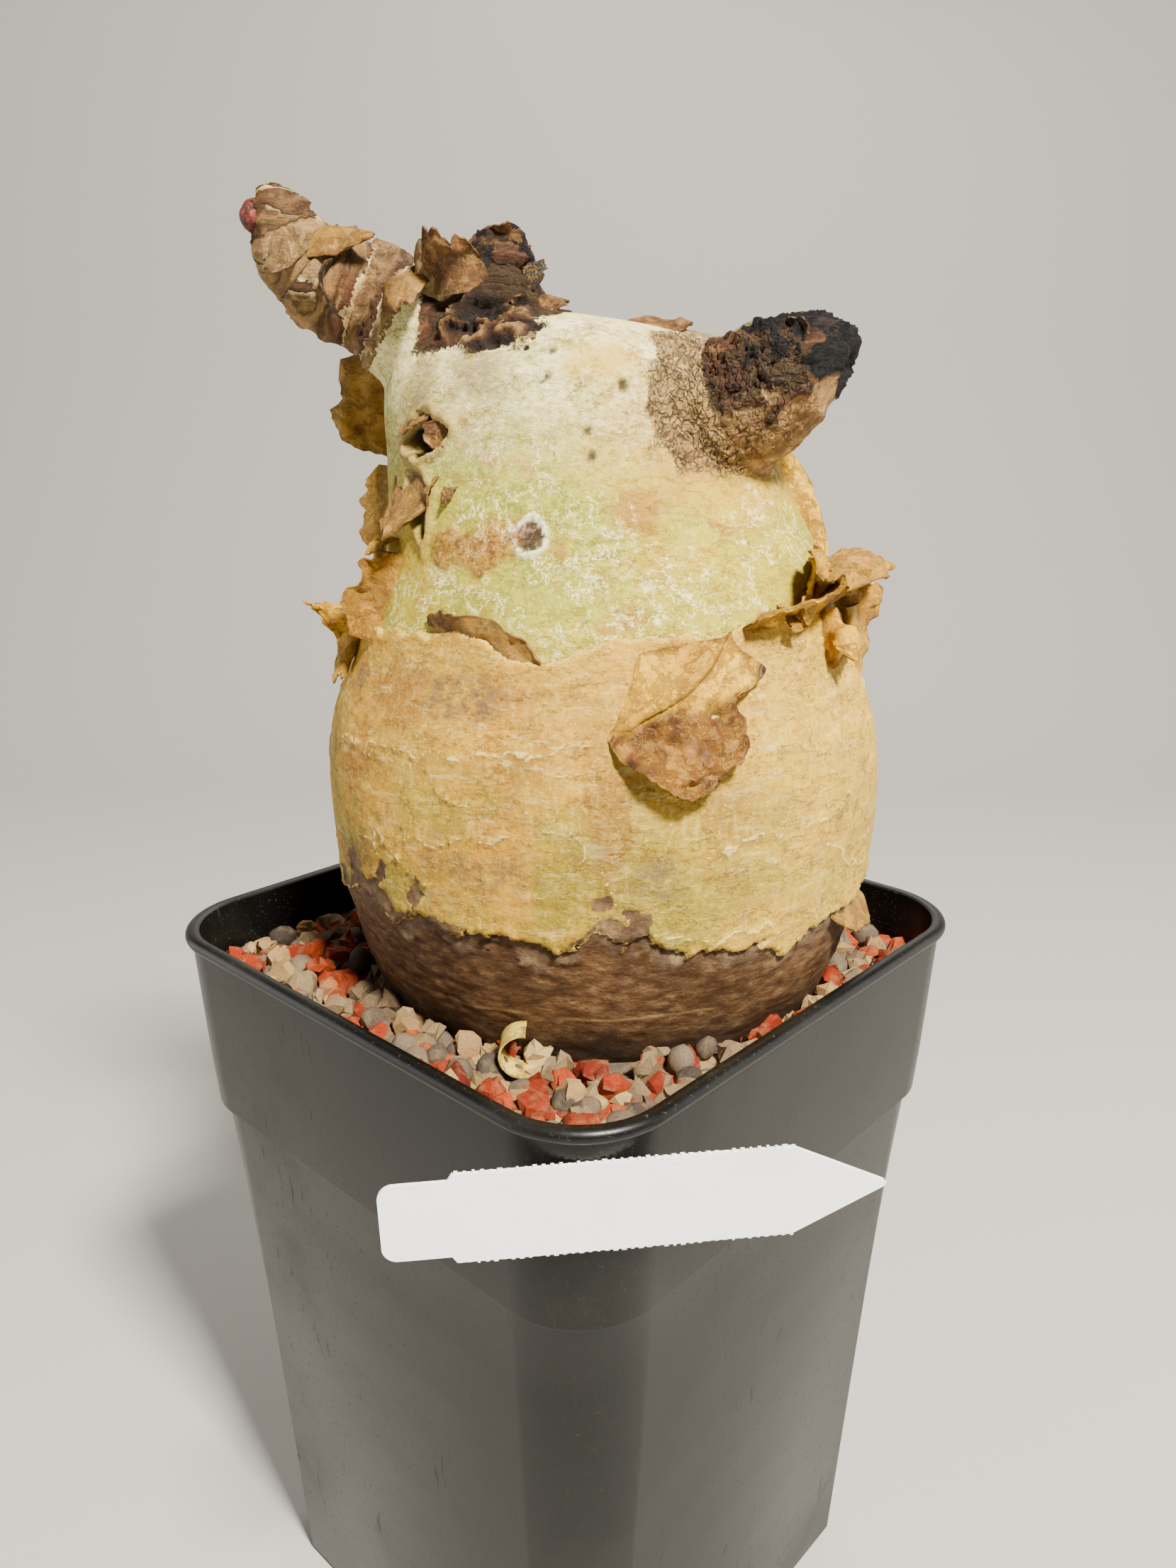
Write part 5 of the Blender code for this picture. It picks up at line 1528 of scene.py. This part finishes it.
# %% The peeling bark
body_sheets = [
    front_flap(),
    peel((30, 0.3665), (66, 0.3690), UP, 0.0175, 17, 82, taper=0.35, fray=0.2, seed=1, crumple=0.0014),
    flake((0.0770, -0.0330, 0.3760), 0.0120, (0.25, -0.30, -1.0), (0.3, -1, 0.1), 0.0200, 10, 24,
          taper=0.4, fray=0.35, seed=41, crumple=0.0030, cup=8),
    flake((0.0660, -0.0450, 0.3720), 0.0140, (-0.4, -0.35, 0.8), (-0.2, -1, -0.2), 0.0120, 8, 74,
          taper=0.5, fray=0.35, seed=42, crumple=0.0022, cup=6),
    peel((56, 0.3790), (94, 0.3800), UP, 0.0230, 34, 125, taper=0.30, fray=0.35, seed=2, crumple=0.0026),
    flake((0.0700, -0.0400, 0.3800), 0.0150, (0.35, -0.25, 0.9), (-0.2, -1, 0.2), 0.0170, 5, 90, taper=0.5,
          fray=0.35, seed=40, crumple=0.0030, cup=10),
    peel((84, 0.3830), (86, 0.3610), 1, 0.0190, 66, -30, taper=0.4, fray=0.35, seed=3, crumple=0.0030),
    flake((0.0855, -0.0120, 0.3730), 0.0085, (0.12, -0.10, -1), (-0.2, -1, 0), 0.0270, 6, 10, taper=0.15,
          fray=0.3, seed=4, cup=10, crumple=0.0024, tone=TAN),
    peel((87, 0.4220), (84, 0.3840), 1, 0.0085, 56, 10, taper=0.75, fray=0.12, seed=5),
    peel((-112, 0.4470), (-104, 0.4150), 1, 0.0250, 34, 62, taper=0.75, fray=0.22, seed=6, crumple=0.0024,
         tone=0.20),
    peel((-86, 0.4140), (-84, 0.3860), -1, 0.0110, 58, 12, taper=0.6, fray=0.3, seed=7, crumple=0.0012,
         tone=TAN),
    peel((-58, 0.3900), (-62, 0.3640), -1, 0.0140, 26, 70, taper=0.4, fray=0.3, seed=8, crumple=0.0018),
    peel((-63, 0.3915), (-76, 0.3900), UP, 0.0120, 30, 150, taper=0.4, seed=9, crumple=0.0010),
    flake((-0.0630, -0.0150, 0.3730), 0.0110, (-1, -0.15, -0.05), (0, -0.8, 0.5), 0.0140, 5, 34, taper=0.5,
          fray=0.4, seed=10, crumple=0.0020, cup=8),
    flake((-0.0625, -0.0150, 0.3700), 0.0075, (-0.45, -0.10, -1), (0.2, -1, 0), 0.0210, 8, 12, taper=0.4,
          fray=0.3, seed=13, cup=4, crumple=0.0010, tone=TAN),
    peel((-42, 0.3655), (-13, 0.3570), UP, 0.0140, 12, 26, taper=0.5, fray=0.12, seed=11, crumple=0.0020,
         tone=0.42),
    peel((52, 0.2890), (76, 0.2860), DOWN, 0.0110, 24, 30, taper=0.6, seed=12, tone=TAN),
    peel((-39, 0.4185), (-37, 0.4280), -1, 0.0070, 20, 30, taper=0.9, seed=14, tone=0.5),
    peel((-60, 0.4290), (-44, 0.4315), DOWN, 0.0050, 26, 20, taper=0.6, fray=0.35, seed=15, tone=0.45),
    peel((-66, 0.4150), (-43, 0.4190), DOWN, 0.0190, 12, 30, taper=0.75, fray=0.4, seed=16, crumple=0.0024,
         tone=0.40),
    peel((-40, 0.4140), (-35, 0.4150), DOWN, 0.0080, 14, 10, taper=0.5, seed=17, tone=0.55),
]
flake_sheets = [
    flake((-0.0800, -0.0100, 0.4800), 0.016, (-0.10, -0.30, -0.9), (-0.3, -0.9, 0.1), 0.0135, 20, -14,
          fray=0.30, seed=20, crumple=0.0012, tone=0.64),
    flake((-0.0780, -0.0060, 0.4770), 0.012, (1.0, -0.25, -0.06), (0.0, -0.5, 1.0), 0.0220, 12, -10,
          taper=0.4, fray=0.35, seed=21, crumple=0.0012, tone=0.40),
    flake((-0.0690, -0.0130, 0.4650), 0.018, (0.45, -0.8, 0.25), (-0.8, -0.45, 0.3), 0.0050, 0, 40,
          seed=22, tone=DARK),
    flake((-0.0475, -0.0150, 0.4660), 0.015, (0.25, -0.50, -0.85), (-0.2, -0.9, 0.4), 0.0125, 24, -20,
          taper=0.9, fray=0.3, seed=23, crumple=0.0012, tone=0.44),
    flake((-0.0325, -0.0165, 0.4610), 0.018, (-0.1, -0.20, 0.95), (-0.3, -0.9, -0.2), 0.0150, 4, 22,
          taper=0.45, fray=0.3, seed=24, crumple=0.0018, tone=BROWN),
    flake((-0.0420, -0.0110, 0.4620), 0.015, (0.35, 0.0, 0.95), (-0.5, -0.8, 0.1), 0.0140, 6, 20,
          taper=0.6, seed=25, tone=GREY),
    flake((-0.0235, -0.0130, 0.4650), 0.012, (0.0, -0.10, 1.0), (0.1, -1.0, 0.0), 0.0110, 0, 20, taper=0.5,
          seed=26, tone=DARK),
    flake((-0.0140, -0.0230, 0.4530), 0.0065, (0.55, -0.5, -0.6), (0.0, -0.8, 0.6), 0.0085, 16, -10,
          taper=0.5, seed=27, crumple=0.0003, tone=GREY),
    flake((-0.0275, -0.0245, 0.4470), 0.0110, (0.30, -0.35, -0.9), (0.0, -0.9, 0.4), 0.0155, 4, 2,
          taper=1.0, seed=28, crumple=0.0003, tone=BROWN),
    flake((0.0170, 0.0080, 0.4560), 0.013, (1.0, 0.0, -0.22), (0.0, 0.0, 1.0), 0.0200, 26, -30, fray=0.4,
          seed=29, crumple=0.0014, tone=BROWN),
    flake((0.0300, 0.0070, 0.4530), 0.012, (1.0, 0.1, -0.28), (0.0, 0.0, 1.0), 0.0140, 26, -34, fray=0.4,
          seed=30, crumple=0.0014, tone=GREY),
    flake((0.0600, -0.0190, 0.4540), 0.010, (-1.0, 0.05, 0.0), (0.0, -0.1, 1.0), 0.0230, 16, -84,
          taper=0.45, fray=0.30, seed=31, crumple=0.0010, tone=0.9),
    flake((-0.0185, -0.0080, 0.4740), 0.010, (0.15, -0.1, 1.0), (-0.2, -1.0, 0.1), 0.0075, 4, 20,
          taper=0.4, fray=0.4, seed=33, crumple=0.0012, tone=0.5),
    flake((-0.0125, -0.0080, 0.4690), 0.010, (0.8, -0.2, 0.1), (0.2, -0.7, 0.7), 0.0055, 8, -30, taper=0.4,
          fray=0.4, seed=34, crumple=0.0014, tone=DARK),
    flake((-0.0080, -0.0080, 0.4610), 0.012, (0.9, -0.2, -0.2), (0.2, -0.6, 0.8), 0.0090, 14, -30,
          taper=0.5, fray=0.4, seed=35, crumple=0.0014, tone=0.52),
    flake((0.0640, -0.0320, 0.4480), 0.012, (-0.3, -0.75, 0.4), (0.1, -0.9, 0.5), 0.0070, 10, 30,
          taper=0.6, fray=0.35, seed=32, tone=DARK),
]


def papery_bark():
    r = Recipe("papery_bark")
    broad = r.noise(55, detail=3)
    middle = r.noise(180, detail=5, rough=0.65)
    fine = r.noise(800, detail=4, rough=0.7)
    outer = r.ramp(broad, (0.30, "9a6a0c"), (0.46, "c08c08"), (0.60, "dca814"), (0.74, "94620c"))
    inner = r.ramp(middle, (0.30, "4a2a0a"), (0.46, "6c4412"), (0.58, "906016"), (0.72, "c08c20"))
    colour = r.mix(r.attribute("inner"), outer, inner)
    colour = r.fade(colour, "7c5412", middle, 0.48, 0.66, 0.4)
    tone = r.attribute("tone")
    colour = r.mix(r.band(tone, -0.25, -0.05, 1.0, 0.0), colour, "cdb04c")
    colour = r.fade(colour, "86672c", tone, 0.05, 0.25, 0.45)
    old = r.ramp(middle, (0.30, "301c0a"), (0.46, "5a3a1a"), (0.60, "82592c"), (0.76, "b08850"))
    colour = r.fade(colour, old, tone, 0.30, 0.50)
    grey = r.ramp(middle, (0.30, "4e4028"), (0.48, "806a44"), (0.66, "b89c66"))
    colour = r.fade(colour, grey, tone, 0.55, 0.75)
    black = r.ramp(middle, (0.32, "040303"), (0.52, "15100c"), (0.70, "41342a"))
    colour = r.fade(colour, black, tone, 0.80, 1.0)
    edge = r.times(r.band(r.attribute("rim"), 0.0, 0.06, 1.0, 0.0), r.band(middle, 0.40, 0.56))
    # The second wash is painted shadow along the flap's crease.
    colour = r.over(colour, ("42260c", edge, 0.6), ("2c1804", r.attribute("fold_shadow"), 0.9))
    colour = r.fade(colour, "4c2f08", fine, 0.55, 0.72, 0.35)
    # The dark fold lines are painted shadow in the folds, which the bump sinks below.
    folds = r.lines(r.noise(80, r.warp(r.place(), 45, 0.014), detail=8, rough=0.72), 0.040)
    veins = r.lines(r.noise(120, r.warp(r.place((1, 1, 0.8)), 70, 0.010), detail=7, rough=0.7), 0.014)
    colour = r.over(colour, ("6c400a", folds, 0.30), ("f0cc60", veins, 0.35))
    normal = r.bump(fine, 0.0004, 0.8)
    normal = r.bump(middle, 0.0010, 0.8, normal)
    normal = r.bump(r.minus(veins, folds), 0.0008, 0.7, normal)
    return r.finish(colour, 0.62, normal, Specular_IOR_Level=0.35)


PAPER = papery_bark()
for name, sheets in (("bark_peels", body_sheets), ("crown_flakes", flake_sheets)):
    piece = sheet_piece(name, sheets)
    dress(piece, PAPER)
    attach(piece, "root")
    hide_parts("caudex")
    print(name, "faces:", len(piece.data.polygons))

# %% [markdown]
# A red resting bud sits beside the knob at the branch's end: a small ball with
# overlapping scales, which raised ridges of noise stand for.

# %% The bud
BUD_PLACE = (-0.0885, -0.0060, 0.4825)
BUD_RADIUS = 0.0038


def bud_mesh():
    shape = bmesh.new()
    bmesh.ops.create_icosphere(shape, subdivisions=4, radius=BUD_RADIUS)
    for vertex in shape.verts:
        ridge = 1 - 2 * abs(noise.fractal(vertex.co * 420, 0.9, 2.0, 3))
        vertex.co *= 1.0 + 0.13 * ridge
        vertex.co.z *= 1.1
    shape.transform(Matrix.Translation(BUD_PLACE))
    mesh = from_shape(shape, "bud")
    mesh.shade_smooth()
    return mesh


def bud_skin():
    r = Recipe("red_bud")
    colour = r.ramp(r.noise(420, detail=4),
                    (0.32, "240a05"), (0.50, "5a1a0c"), (0.66, "86331c"), (0.8, "a8705a"))
    return r.finish(colour, 0.6, r.bump(r.noise(1500, detail=3), 0.0003, 0.8))


bud = link("bud", bud_mesh())
dress(bud, bud_skin())
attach(bud, "root")
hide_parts("caudex")
print("bud faces:", len(bud.data.polygons))

# %% [markdown]
# One curl of bark has dropped on the gravel in front of the plant: a flat tail, then
# a loop that stands up. It is a strip along a path that starts level and then turns
# over, a little more with every step.

# %% The fallen curl
PEEL_SPOT = (-0.0085, -0.0730)
FALLEN_WIDTH = 0.009
FALLEN_STEP = 0.0019
FALLEN_TURN = math.radians(17)
FALLEN_REST = 0.0022
FALLEN_SHIFT = 0.0055
FALLEN_FLAT_STEPS = 5
FALLEN_STEPS = 16


def fallen_grid(finer=4, across=12):
    place = np.array((PEEL_SPOT[0] + FALLEN_SHIFT, PEEL_SPOT[1], GRAVEL_BED + FALLEN_REST))
    heading = math.pi
    line = [place.copy()]
    for k in range(FALLEN_STEPS * finer):
        if k >= FALLEN_FLAT_STEPS * finer:
            heading -= FALLEN_TURN / finer
        step = np.array((math.cos(heading), 0.0, math.sin(heading))) * FALLEN_STEP / finer
        place = place + step
        line.append(place.copy())
    line = np.array(line)
    v = np.linspace(-0.5, 0.5, across + 1)
    width = FALLEN_WIDTH * (1 + 0.10 * line_noise(np.linspace(0, 4, len(line)), 3))
    shift = np.stack([0 * width, width, 0 * width], axis=-1)
    return line[:, None, :] + shift[:, None, :] * v[None, :, None]


fallen = sheet_piece("fallen_curl", [closed_sheet(fallen_grid(), CREAM)])
dress(fallen, PAPER)
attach(fallen, "root")
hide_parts("fallen_peel")

# %% [markdown]
# The label is a stock stake label, snapped off a sheet of them, so its long edges
# carry the little nubs of the perforation. The outline is drawn once and extruded;
# the nubs repeat along its edges, so Geometry Nodes set them out along a line. The
# label stays blank.

# %% The label
LABEL_LENGTH = 0.125
LABEL_WIDTH = 0.025
LABEL_THICKNESS = 0.001
LABEL_POINT = 0.024
LABEL_NECK = 0.004
LABEL_HEAD = 0.018
LABEL_Z = 0.2425
LABEL_YAW = math.radians(5.4)
LABEL_ROLL = math.radians(1.8)
LABEL_SHIFT = 0.0118
LABEL_GAP = 0.0003


def label_place():
    half, corner, _ = collar_section(LABEL_Z + LABEL_WIDTH / 2)
    facing = Vector((math.sin(LABEL_YAW), -math.cos(LABEL_YAW), 0.0))
    turned = POT_TURN - math.pi / 4
    corner_line = (half - corner) * math.sqrt(2)
    middle = Vector((corner_line * math.sin(turned), -corner_line * math.cos(turned), LABEL_Z))
    touch = middle + facing * (corner + LABEL_GAP + LABEL_THICKNESS)
    along = Vector((math.cos(LABEL_YAW), math.sin(LABEL_YAW), 0.0))
    start = touch - along * (LABEL_LENGTH / 2 - LABEL_SHIFT)
    turn = Matrix.Rotation(LABEL_YAW, 4, "Z") @ Matrix.Rotation(-LABEL_ROLL, 4, "Y")
    return Matrix.Translation(start) @ turn


def label_outline():
    half = LABEL_WIDTH / 2
    neck = half - 0.0018
    end = LABEL_LENGTH - LABEL_POINT
    tip = LABEL_LENGTH - 0.001
    outline = [(tip, -0.0009), (LABEL_LENGTH - 0.0003, 0.0), (tip, 0.0009)]
    outline += [(end, half), (LABEL_HEAD, half), (LABEL_HEAD - 0.0012, neck), (LABEL_NECK + 0.003, neck)]
    for k in range(1, 10):
        a = math.pi / 2 + k * math.pi / 20
        outline.append((LABEL_NECK * (1 + math.cos(a)), neck - LABEL_NECK * (1 - math.sin(a))))
    return outline + [(x, -y) for x, y in reversed(outline[3:])]


def label_mesh():
    shape = bmesh.new()
    ring = [shape.verts.new((x, 0.0, y)) for x, y in label_outline()]
    face = shape.faces.new(ring)
    grown = bmesh.ops.extrude_face_region(shape, geom=[face])
    moved = [g for g in grown["geom"] if isinstance(g, bmesh.types.BMVert)]
    bmesh.ops.translate(shape, verts=moved, vec=(0.0, LABEL_THICKNESS, 0.0))
    bmesh.ops.recalc_face_normals(shape, faces=shape.faces)
    shape.transform(label_place())
    return from_shape(shape, "label")


def nub_tree():
    """Small blocks spaced along every edge of the line that it is given."""
    weave = Weave("tear_nubs", {
        "Line": "Geometry", "Pitch": "Float", "Width": "Float", "Height": "Float",
        "Depth": "Float", "Plastic": "Material"}, "Nubs")
    given = weave.given
    curve = weave.add("GeometryNodeMeshToCurve", {"Mesh": given["Line"]})["Curve"]
    spots = weave.add("GeometryNodeCurveToPoints", {
        "Curve": curve, "Length": given["Pitch"]}, mode="LENGTH")
    size = weave.add("ShaderNodeCombineXYZ", {0: given["Width"], 1: given["Depth"], 2: given["Height"]})
    block = weave.add("GeometryNodeMeshCube", {"Size": size[0]})["Mesh"]
    nubs = weave.add("GeometryNodeInstanceOnPoints", {
        "Points": spots["Points"], "Instance": block,
        "Scale": weave.random("FLOAT_VECTOR", (0.5, 1.0, 0.3), (1.3, 1.0, 1.3), 5)})["Instances"]
    real = weave.add("GeometryNodeRealizeInstances", {"Geometry": nubs})["Geometry"]
    return weave.finish(real, given["Plastic"])


def label_plastic():
    r = Recipe("white_label_plastic")
    smudge = r.noise(70, detail=5)
    colour = r.fade("fffefc", "e6dfcc", smudge, 0.50, 0.72, 0.35)
    speck = r.blots(900, 0.68, 0.74, detail=2)
    colour = r.over(colour, ("b9ad98", speck, 0.4))
    normal = r.bump(r.noise(260, r.place((0.12, 1, 1)), detail=3), 0.00008, 0.6)
    return r.finish(colour, r.band(smudge, 0.4, 0.7, 0.32, 0.5), normal)


white = label_plastic()
half = LABEL_WIDTH / 2
line = bpy.data.meshes.new("edges")
ends = (LABEL_HEAD + 0.001, LABEL_LENGTH - LABEL_POINT)
line.from_pydata([(x, LABEL_THICKNESS / 2, z) for z in (-half, half) for x in ends], [(0, 1), (2, 3)], [])
nubs = link("nubs", line)
tree, inputs = nub_tree()
spread = nubs.modifiers.new("spread", "NODES")
spread.node_group = tree
for name, value in (("Pitch", 0.0021), ("Width", 0.0010), ("Height", 0.0009), ("Depth", 0.0008)):
    spread[inputs[name]] = value
spread[inputs["Plastic"]] = white
nub_mesh = evaluated(nubs)
nub_mesh.transform(label_place())
label = link("blank_label", joined((label_mesh(), nub_mesh), "label_with_nubs"))
dress(label, white)
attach(label, "root")
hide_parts("plant_label")
print("nub faces:", len(nub_mesh.polygons))

# %% [markdown]
# Last, the view layer is brought up to date.

# %% Update the view layer
bpy.context.view_layer.update()
